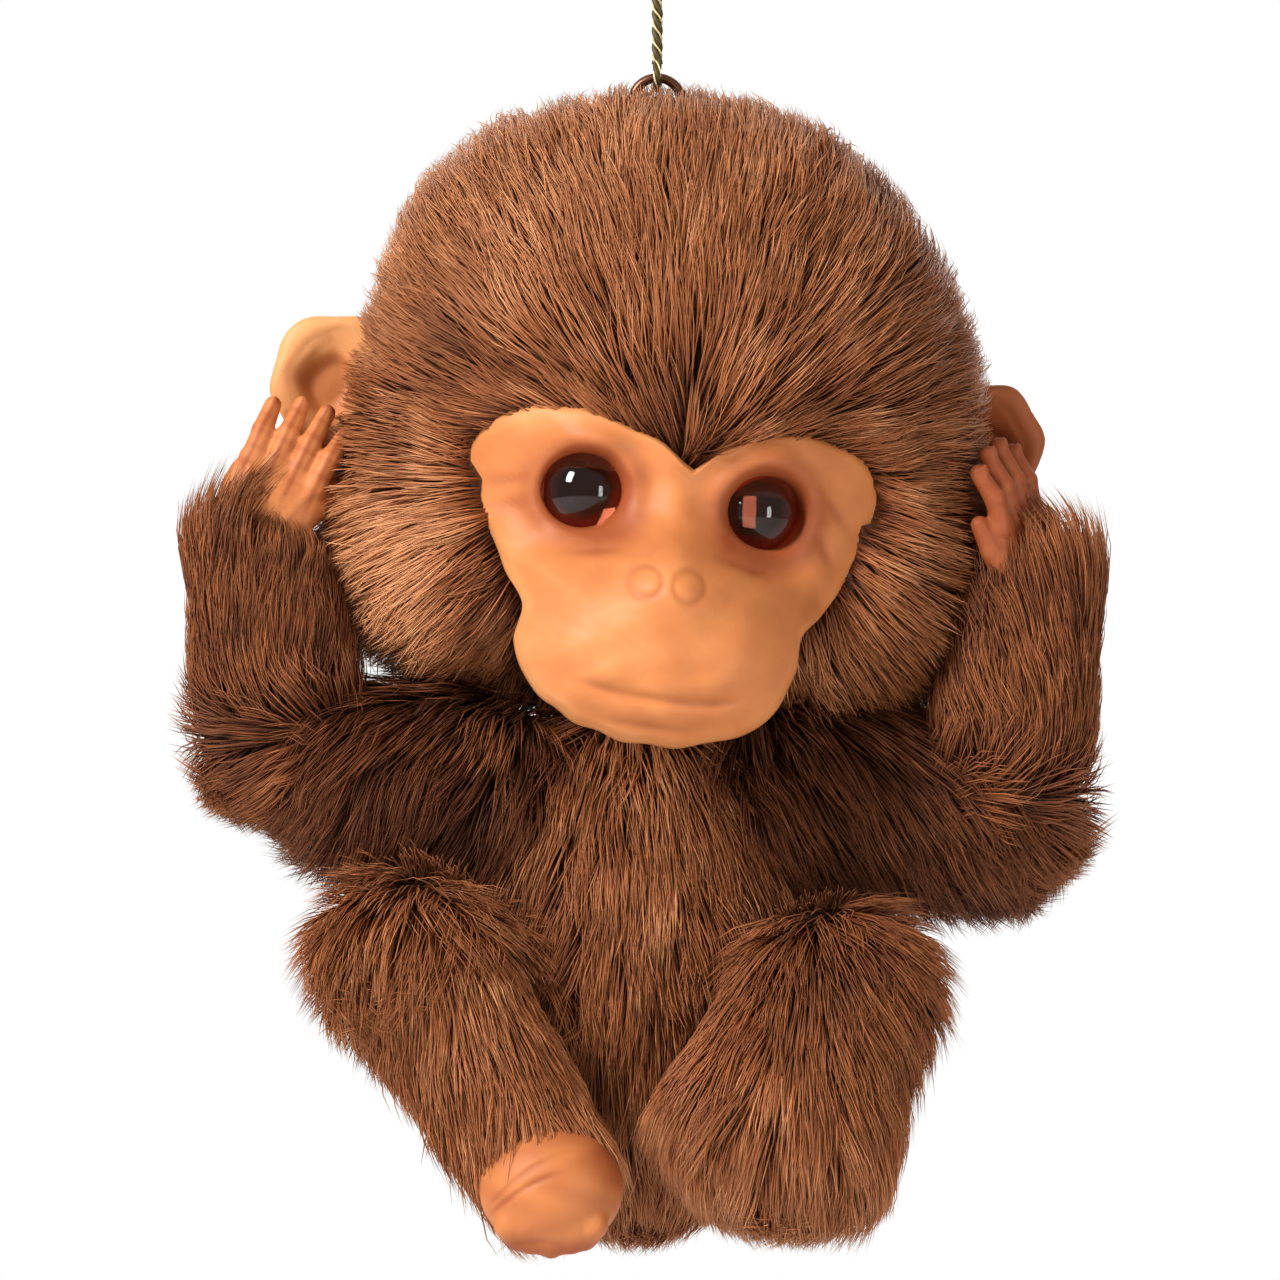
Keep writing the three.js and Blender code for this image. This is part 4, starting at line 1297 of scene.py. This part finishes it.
class Coat:
    """Grows closed tapering fibres on a pelt."""

    marks = np.array([0.0, 0.36, 0.72])
    ends = np.append(marks, 1.0)

    def __init__(self, name: str, pile: Pile, seed: int) -> None:
        """Keeps the patch's name, its pile and its own source of chance."""
        self.name = name
        self.pile = pile
        self.chance = np.random.default_rng(seed)

    def roots(self, pelt: bpy.types.Object, count: int,
              weight: Callable[[Points], Points]) -> tuple[Points, Points]:
        """Scatters roots over a pelt.

        Args:
            pelt: The pelt, in metres, in the row frame.
            count: How many roots.
            weight: How thickly to sow at each place, 0 for bare.

        Returns:
            The roots' places and the pelt's outward directions there.
        """
        mesh = pelt.data
        mesh.calc_loop_triangles()
        corners = np.empty(len(mesh.loop_triangles) * 3, np.int32)
        mesh.loop_triangles.foreach_get("vertices", corners)
        corners = corners.reshape(-1, 3)
        places = vertices_of(pelt)
        normals = np.empty(len(mesh.vertices) * 3)
        mesh.vertices.foreach_get("normal", normals)
        normals = normals.reshape(-1, 3)
        a, b, c = (places[corners[:, k]] for k in range(3))
        area = np.linalg.norm(np.cross(b - a, c - a), axis=1) * weight((a + b + c) / 3)
        chosen = self.chance.choice(len(corners), count, p=area / area.sum())
        r1, r2 = np.sqrt(self.chance.random(count)), self.chance.random(count)
        share = np.column_stack([1 - r1, r1 * (1 - r2), r1 * r2])
        spots = (places[corners[chosen]] * share[:, :, None]).sum(1)
        facing = unit((normals[corners[chosen]] * share[:, :, None]).sum(1))
        return spots, facing

    def leaders(self, spots: Points) -> Points:
        """The number of the fibre that each fibre's clump gathers to."""
        count = max(1, len(spots) // self.pile.clump_of)
        heads = self.chance.choice(len(spots), count, replace=False)
        tree = kdtree.KDTree(count)
        for slot, head in enumerate(heads):
            tree.insert(spots[head], slot)
        tree.balance()
        return np.array([heads[tree.find(spot)[1]] for spot in spots])

    def paths(self, spots: Points, facing: Points, comb: Points, scale: Points) -> tuple[Points, Points]:
        """The line that each fibre follows.

        Args:
            spots: Root places in metres.
            facing: Outward directions.
            comb: The way the pile is combed at each root.
            scale: Each fibre's length as a share of the pile's.

        Returns:
            Points at the marks and the tip, by fibre, and each fibre's leader.
        """
        pile, n = self.pile, len(spots)
        leader = self.leaders(spots)
        way = comb - (comb * facing).sum(1)[:, None] * facing
        across = np.cross(facing, way)
        swing = self.chance.normal(0, pile.stray, n) + 0.6 * self.chance.normal(0, pile.stray, n)[leader]
        way = unit(way + across * swing[:, None])
        lift = pile.lift * self.chance.uniform(0.75, 1.2, n)[:, None]
        first = unit(facing * lift + way * (1 - 0.5 * lift))
        last = unit(facing * pile.tip_lift + way)
        length = (pile.length * MM * scale * self.chance.uniform(0.72, 1.12, n))[:, None, None]
        t = self.ends[None, :, None]
        bend = first[:, None] * t + (last - first)[:, None] * t * t / 2
        line = spots[:, None] + length * bend
        line -= facing[:, None] * pile.hug * (length * t) ** 2 / (2 * 22 * MM)
        pull = pile.clump * self.ends[None, :, None] ** 1.4
        target = line[leader] + 0.25 * (line - line[leader])
        return line * (1 - pull) + target * pull, leader

    def fibres(self, line: Points, facing: Points, leader: Points,
               shade: Points) -> tuple[Points, Points, Points]:
        """Closed three-sided spikes along the lines.

        Args:
            line: Points by fibre.
            facing: Outward directions at the roots.
            leader: Each fibre's clump leader.
            shade: A change of tone for each fibre.

        Returns:
            The points, the triangles and each point's tone.
        """
        n, marks = len(line), len(self.marks)
        along = unit(np.gradient(line, axis=1))
        side = unit(np.cross(along, facing[:, None]))
        up = np.cross(side, along)
        width = self.pile.width * MM * self.chance.uniform(0.7, 1.25, n)[:, None]
        thick = width * (1 - self.ends[None] ** 1.6 * 0.85)
        rings = []
        for k in range(3):
            angle = math.pi / 2 + 2 * math.pi * k / 3
            rings.append(line[:, :marks] + (math.cos(angle) * side[:, :marks]
                         + 0.75 * math.sin(angle) * up[:, :marks]) * thick[:, :marks, None] / 2)
        ring = np.stack(rings, 2).reshape(n, marks * 3, 3)
        points = np.concatenate([ring, line[:, -1:]], 1).reshape(-1, 3)
        each = marks * 3 + 1
        faces = [(0, 2, 1)]
        for m in range(marks - 1):
            for k in range(3):
                a, b = m * 3 + k, m * 3 + (k + 1) % 3
                faces += [(a, b, b + 3), (a, b + 3, a + 3)]
        top = (marks - 1) * 3
        faces += [(top + k, top + (k + 1) % 3, each - 1) for k in range(3)]
        triangles = (np.array(faces)[None] + (np.arange(n) * each)[:, None, None]).reshape(-1, 3)
        # Dark at the root as painted shade deep in the pile, lighter at the tip as the fur's own lighter
        # tips.
        tone = np.interp(self.ends, [0, 0.36, 0.72, 1], [0.20, 0.48, 0.64, 0.74])
        own = self.chance.normal(0, 0.06, n) + self.chance.normal(0, 0.06, n)[leader] + shade
        tone = np.concatenate([np.repeat(tone[:marks], 3), tone[-1:]])[None] + own[:, None]
        return points, triangles, np.clip(tone, 0.02, 0.98).ravel()

    def grow(self, pelt: bpy.types.Object, count: int, comb: Comb,
             weight: Callable[[Points], Points] = lambda p: np.ones(len(p)),
             scale: Callable[[Points], Points] = lambda p: np.ones(len(p)),
             shade: Callable[[Points], Points] = lambda p: np.zeros(len(p)),
             wall: float = 0.0) -> bpy.types.Object:
        """Grows the coat and joins it to its pelt.

        Args:
            pelt: The closed pelt, in metres, in the row frame. It is used up.
            count: How many fibres.
            comb: The combed direction at places with given outward directions.
            weight: How thickly to sow at each place.
            scale: Each fibre's length as a share of the pile's.
            shade: A change of tone by place.
            wall: The thickness to give to an open pelt, in millimetres.

        Returns:
            The furred piece.
        """
        spots, facing = self.roots(pelt, count, weight)
        line, leader = self.paths(spots, facing, comb(spots, facing), scale(spots))
        points, triangles, tone = self.fibres(line, facing, leader, shade(spots))
        if wall:
            apply_modifier(pelt, "SOLIDIFY", thickness=wall * MM, offset=-1.0)
        base = vertices_of(pelt)
        skin_faces = [np.array([list(p.vertices) for p in pelt.data.polygons if len(p.vertices) == size])
                      for size in sorted({len(p.vertices) for p in pelt.data.polygons})]
        bpy.data.objects.remove(pelt)
        obj = mesh_from(self.name, np.vstack([base, points]), [*skin_faces, triangles + len(base)])
        # The pelt takes the dark root tone: painted shade among the fibres.
        put_attribute(obj, "pile_tone", np.concatenate([np.full(len(base), 0.16), tone]))
        dress(obj, PILE)
        return obj


def steady(direction: Sequence[float]) -> Comb:
    """A comb that runs one way all over."""
    way = np.array(direction, float)
    return lambda spots, facing: np.repeat(way[None], len(spots), 0)


@dataclass
class HeadFur:
    """The head's fur in four patches: left and right of the seam, front and back."""

    head: HeadFrame
    form: FaceForm
    skin: tuple[float, float, float] = (24.9, 22.6, 26.2)
    split: float = 5.0
    bulges: tuple[tuple[float, float, float, float], ...] = (
        (-20.0, -14.0, 5.2, 9.0), (20.0, -14.0, 5.2, 9.0), (-17.5, 16.5, 1.3, 9.0), (18.5, 16.5, -1.0, 9.0),
    )
    face_pole: tuple[float, float, float] = (0.0, -1.0, -0.28)

    def pelt(self, side: Side, front: bool) -> bpy.types.Object:
        """One quarter of the head's skin, sunk where the mask covers it."""
        skin = ball((0, 0, 0), self.skin, 112)
        keep_part(skin, (0, 0, 0), (side.out, 0, 0))
        keep_part(skin, (0, self.split, 0), (0, -1 if front else 1, 0))
        places = vertices_of(skin)
        for across, height, rise, width in self.bulges:
            rel = (places - np.array([across, 0, height])) / [width, 14.0, width]
            places += unit(places) * rise * np.exp(-(rel ** 2).sum(1))[:, None]
        near = self.form.reach(places[:, 0], places[:, 2])
        facing_out = places[:, 1] < -4
        covered = (near < 0.97) & facing_out
        places[facing_out] *= 1 - 0.06 * (1 - smooth_step(0.97, 1.25, near[facing_out]))[:, None]
        behind_mask = 1.7 - self.form.forward(places[:, 0], places[:, 2])
        places[covered, 1] = np.maximum(places[:, 1], behind_mask)[covered]
        move_vertices(skin, places)
        to_metres(skin, self.head.matrix)
        return skin

    def comb(self, spots: Points, facing: Points) -> Points:
        """Away from the face all round, and down at the back."""
        local = self.head.inside(spots)
        pole = np.array(self.face_pole) / np.linalg.norm(self.face_pole)
        rel = unit(local)
        away = rel - pole
        down = np.array([0.0, 0.0, -1.0])
        behind = smooth_step(0.35, 0.9, rel[:, 1])[:, None]
        low = smooth_step(0.1, 0.6, -rel[:, 2])[:, None]
        way = unit(away) * (1 - 0.8 * behind) + down * (1.0 * behind + 0.5 * low)
        return transformed(way, self.head.matrix.to_3x3().to_4x4())

    def weight(self, spots: Points) -> Points:
        """Bare under the mask, at the ears and round the crown eye."""
        local = self.head.inside(spots)
        near = self.form.reach(local[:, 0], local[:, 2])
        bare = (near < 0.93) & (local[:, 1] < -3)
        ring = np.linalg.norm(spots - np.array(node_middle("cord_tie")), axis=1) < 3.4 * MM
        rim = np.exp(-(((near - 0.98) / 0.05) ** 2)) * (local[:, 1] < -3)
        return np.where(bare | ring, 0.0, 1.0 + 2.2 * rim)

    def shade(self, spots: Points) -> Points:
        """Darker along the centre seam and beside the mask's left edge, painted light on the left cheek and
        upper left, and soft streaks.
        """
        local = self.head.inside(spots)
        seam = np.exp(-((local[:, 0] / 1.6) ** 2)) * (local[:, 1] < 0) * smooth_step(22, 0, local[:, 2])
        near = self.form.reach(local[:, 0], local[:, 2])
        # Painted highlights where the lamp falls: the left cheek and the upper left of the head.
        cheek = hill(local[:, 0], local[:, 2], -19.5, -15, 5, 8)
        bright = smooth_step(12, -16, local[:, 0]) * smooth_step(-4, 18, local[:, 2])
        temple = np.exp(-(((near - 1.08) / 0.13) ** 2)) * smooth_step(2, -8, local[:, 0]) * (local[:, 1] < 0)
        streak = 0.05 * np.sin(local[:, 0] * 0.55 + 2 * np.sin(local[:, 2] * 0.21) + 0.5)
        return -0.15 * seam + 0.46 * cheek + 0.13 * bright - 0.16 * temple + streak + 0.05

    def scale(self, spots: Points) -> Points:
        """Shorter next to the mask, longer at the cheeks."""
        local = self.head.inside(spots)
        near = self.form.reach(local[:, 0], local[:, 2])
        away = np.linalg.norm((np.abs(local) * [1, 0, 1] - [21, 0, 15]) / [9, 1, 9], axis=1)
        edge = np.where(local[:, 1] < 0, smooth_step(1.0, 1.35, near), 1.0)
        crown = np.exp(-(np.linalg.norm(local - [0, 0, 26], axis=1) / 8) ** 2)
        return 0.6 + 0.4 * edge + 0.12 * np.exp(-away ** 2) - 0.35 * crown

    def build(self) -> None:
        """Grows the four patches."""
        for number, side in enumerate(Side):
            for front in (True, False):
                place = "front" if front else "back"
                pile = Pile(length=11.0, width=0.2 if front else 0.26, lift=0.56, hug=0.75, clump=0.5)
                coat = Coat(f"head_fur_{side.value}_{place}", pile, 11 + 2 * number + front)
                fur = coat.grow(self.pelt(side, front), 11300 if front else 4900, self.comb,
                                self.weight, self.scale, self.shade, wall=1.2)
                mount_piece(fur, "monkey", f"head_fur_{side.value}")


@dataclass
class TorsoFur:
    """The torso's fur, front and back."""

    skin: tuple[float, float, float] = (15.6, 11.8, 21.6)

    def build(self) -> None:
        """Grows both patches, combed down."""
        low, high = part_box("torso_fur_front")
        back_low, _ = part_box("torso_fur_back")
        middle = Vector(((low.x + high.x) / 2, (high.y + back_low.y) / 2, back_low.z + 21.9 * MM))
        for front in (True, False):
            skin = ball((0, 0, 0), self.skin, 48)
            keep_part(skin, (0, 0, 0), (0, -1 if front else 1, 0))
            to_metres(skin, Matrix.Translation(middle))
            place = "front" if front else "back"
            pile = Pile(length=9.4, width=0.225 if front else 0.3, lift=0.42)
            coat = Coat(f"torso_pelt_{place}", pile, 31 + front)
            fur = coat.grow(skin, 9800 if front else 4400, self.comb(middle), wall=1.2)
            mount_piece(fur, "monkey", f"torso_fur_{place}")

    @staticmethod
    def comb(middle: Vector) -> Comb:
        """Down, and a little out from the middle of the chest."""
        def way(spots: Points, facing: Points) -> Points:
            """The direction at each place."""
            out = (spots - np.array(middle)) * np.array([1.0, 0.3, 0.0]) / (14 * MM)
            return out * 0.35 + np.array([0, 0, -1.0])
        return way


@dataclass
class LimbFur:
    """Fur on one straight length of an arm or a leg."""

    name: str
    body: str
    node: str
    start: Vector
    end: Vector
    first: float
    last: float
    count: int
    seed: int
    comb: Comb
    pile: Pile = Pile()
    scale: Callable[[Points], Points] = lambda spots: np.ones(len(spots))
    # Painted light and shade over the whole length, and painted shade round its start.
    shade: float = 0.0
    dark_start: float = 0.0

    def tone(self, spots: Points) -> Points:
        """The painted light and shade at each place, darker round the limb's start."""
        away = np.linalg.norm(spots - np.array(self.start), axis=1) / (9 * MM)
        return self.shade - self.dark_start * np.exp(-away ** 2)

    def build(self) -> None:
        """Grows the limb's coat on a round-ended pelt."""
        skin = capsule(self.start / MM, self.end / MM, self.first, self.last, 32)
        move_vertices(skin, vertices_of(skin) * MM)
        fur = Coat(self.name, self.pile, self.seed).grow(
            skin, self.count, self.comb, scale=self.scale, shade=self.tone,
        )
        mount_piece(fur, self.body, self.node)


@dataclass(frozen=True)
class ArmFit:
    """How one arm's fur is set on its wires. Moves are millimetres."""

    elbow_move: tuple[float, float, float]
    cuff_move: tuple[float, float, float]
    shorter: float
    # Painted shade on the forearm, under the head.
    shade: float


ARM_FITS = {
    Side.LEFT: ArmFit((0.8, 0, 2.8), (-0.4, 0.8, 0.4), 0.65, -0.20),
    Side.RIGHT: ArmFit((-0.8, 0, 2.9), (-0.5, 0.8, 1.6), 0.25, -0.14),
}


@dataclass(frozen=True)
class LegFit:
    """How one leg's fur is set on its wires. Moves and radii are millimetres."""

    knee_move: tuple[float, float, float]
    ankle_move: tuple[float, float, float]
    # Painted shade on the thigh.
    thigh_shade: float
    knee_radius: float
    ankle_radius: float
    fibres: int
    outward: float
    spread: float
    # Painted shade round the top of the shin, at the knee.
    dark_start: float


LEG_FITS = {
    Side.LEFT: LegFit((1.0, 0, 0.8), (0.0, 0, 1.0), -0.08, 5.4, 5.4, 7600, 0.1, 0.4, 0.06),
    Side.RIGHT: LegFit((-1.4, 0, 1.8), (3.2, -0.8, 4.3), -0.18, 6.4, 9.6, 9600, 0.55, 0.8, 0.24),
}


@dataclass
class Arm:
    """An arm bent up so that its hand covers the ear."""

    side: Side

    def build(self) -> None:
        """Grows the upper arm and the forearm, and makes the hand."""
        name, out = self.side.value, self.side.out
        shoulder, elbow = joint_point(f"shoulder_{name}"), joint_point(f"elbow_{name}")
        end = far_cap(f"forearm_wire_{name}", elbow)
        wrist = end + (end - elbow).normalized() * 1.5 * MM
        inner = elbow + (shoulder - elbow).normalized() * 3 * MM
        top = shoulder + Vector((out * 3, 0, 0.7)) * MM
        fit = ARM_FITS[self.side]
        bend = elbow + Vector(fit.elbow_move) * MM
        cuff = wrist + Vector(fit.cuff_move) * MM

        def near_elbow(spots: Points) -> Points:
            """Shorter pile towards the elbow."""
            return 1 - fit.shorter * smooth_step(-9.0, 0.0, (spots[:, 0] - elbow.x) * out / MM)

        # The upper arm's fur is darker by 0.30: painted shade under the head.
        LimbFur(
            f"upper_arm_pelt_{name}", f"{name}_upper_arm", f"upper_arm_fur_{name}", top, inner,
            7.4, 5.4, 7000, 41 + out, steady((out * 0.5, -0.15, -1.0)), Pile(length=10.6, lift=0.42),
            near_elbow, -0.30,
        ).build()
        LimbFur(
            f"forearm_pelt_{name}", f"{name}_forearm", f"forearm_fur_{name}", bend, cuff,
            5.9, 5.4, 8400, 51 + out, self.forearm_comb(elbow, wrist), Pile(length=7.6, lift=0.44),
            self.cuff(elbow, wrist), fit.shade,
        ).build()
        Hand(self.side).build()

    def forearm_comb(self, elbow: Vector, wrist: Vector) -> Comb:
        """Up the forearm to the cuff, but out and down round the elbow."""
        out, span = self.side.out, (wrist - elbow).length

        def way(spots: Points, facing: Points) -> Points:
            """The direction at each place."""
            height = (spots[:, 2] - elbow.z) / span
            up = smooth_step(-0.1, 0.5, height)[:, None]
            low = np.array([out * 0.6, -0.1, -0.65])
            aside = -out * (0.1 if self.side is Side.LEFT else 0.25)
            return up * np.array([aside, 0, 1.0]) + (1 - up) * low
        return way

    def cuff(self, elbow: Vector, wrist: Vector) -> Callable[[Points], Points]:
        """Short pile in front of the hand and long tufts outside it."""
        out = self.side.out

        def share(spots: Points) -> Points:
            """The pile's share of its full length at each place."""
            rel = (spots - np.array(wrist)) / MM
            top = smooth_step(-4.0, 1.0, rel[:, 2])
            outside = smooth_step(0.5, 5.0, rel[:, 0] * out)
            under = smooth_step(-1.0, -4.0, (spots[:, 2] - elbow.z) / MM) * outside
            front = 0.35 if self.side is Side.LEFT else -0.15
            return 1 - top * (front - (front + 0.5) * outside) - 0.55 * under
        return share


@dataclass
class Leg:
    """A leg folded so that its foot tucks in at the middle."""

    side: Side

    def build(self) -> None:
        """Grows the thigh and the shin, and makes the foot."""
        name, out = self.side.value, self.side.out
        fit = LEG_FITS[self.side]
        hip = joint_point(f"hip_{name}")
        end = far_cap(f"thigh_wire_{name}", hip)
        knee = end + (end - hip).normalized() * 2 * MM
        heel = far_cap(f"shin_wire_{name}", knee)
        ankle = heel + (heel - knee).normalized() * 1 * MM
        shin = unit(np.array([ankle - knee]))[0]
        knee += Vector(fit.knee_move) * MM
        ankle += Vector(fit.ankle_move) * MM
        down_shin = tuple(shin + np.array([out * fit.outward, 0, -0.5]))
        # Painted light: the thigh darker by its fit, the shin a touch lighter, and painted shade at the knee.
        LimbFur(
            f"thigh_pelt_{name}", f"{name}_leg", f"thigh_fur_{name}", hip, knee, 6.4, 6.2, 5000,
            61 + out, self.fan(knee, (out * 0.2, -0.8, -0.6), 0.4), Pile(length=8.6, lift=0.42),
            shade=fit.thigh_shade,
        ).build()
        LimbFur(
            f"shin_pelt_{name}", f"{name}_leg", f"shin_fur_{name}", knee, ankle,
            fit.knee_radius, fit.ankle_radius, fit.fibres, 71 + out,
            self.fan(ankle, down_shin, fit.spread),
            Pile(length=9.0, lift=0.44), shade=0.04, dark_start=fit.dark_start,
        ).build()
        Foot(self.side).build()

    @staticmethod
    def fan(middle: Vector, way: Sequence[float], spread: float) -> Comb:
        """A comb that spreads sideways from the middle of the limb."""
        def direction(spots: Points, facing: Points) -> Points:
            """The direction at each place."""
            rows = np.repeat(np.array(way, float)[None], len(spots), 0)
            rows[:, 0] += spread * (spots[:, 0] - middle.x) / (8 * MM)
            return rows
        return direction


@dataclass
class InnerParts:
    """The hidden pieces, which keep their CAD shape and get their finish."""

    finishes: dict[str, Finish] = field(default_factory=lambda: {
        "core": FIBRE, "wire": STEEL, "washer": WASHER, "plug": WOOD,
    })

    def build(self) -> None:
        """Dresses each hidden CAD node by the word in its name."""
        for name, obj in frame["nodes"].items():
            for word, finish in self.finishes.items():
                if word in name and not obj.hide_render:
                    obj.data.materials.clear()
                    obj.data.materials.append(finish.material())
                    LOG.info("%s keeps its shape, in %s", name, finish.name)


def main() -> None:
    """Builds the stage, the cord and every part of the figure."""
    logging.basicConfig(level=logging.INFO, format="%(name)s: %(message)s")
    Stage().build()
    TwistedCord().build()
    CrownEye().build()
    head, form = HeadFrame(), FaceForm()
    Face(head, form).build()
    for side in Side:
        Ear(side, head).build()
        Arm(side).build()
        Leg(side).build()
    HeadFur(head, form).build()
    TorsoFur().build()
    InnerParts().build()


if __name__ == "__main__":
    main()
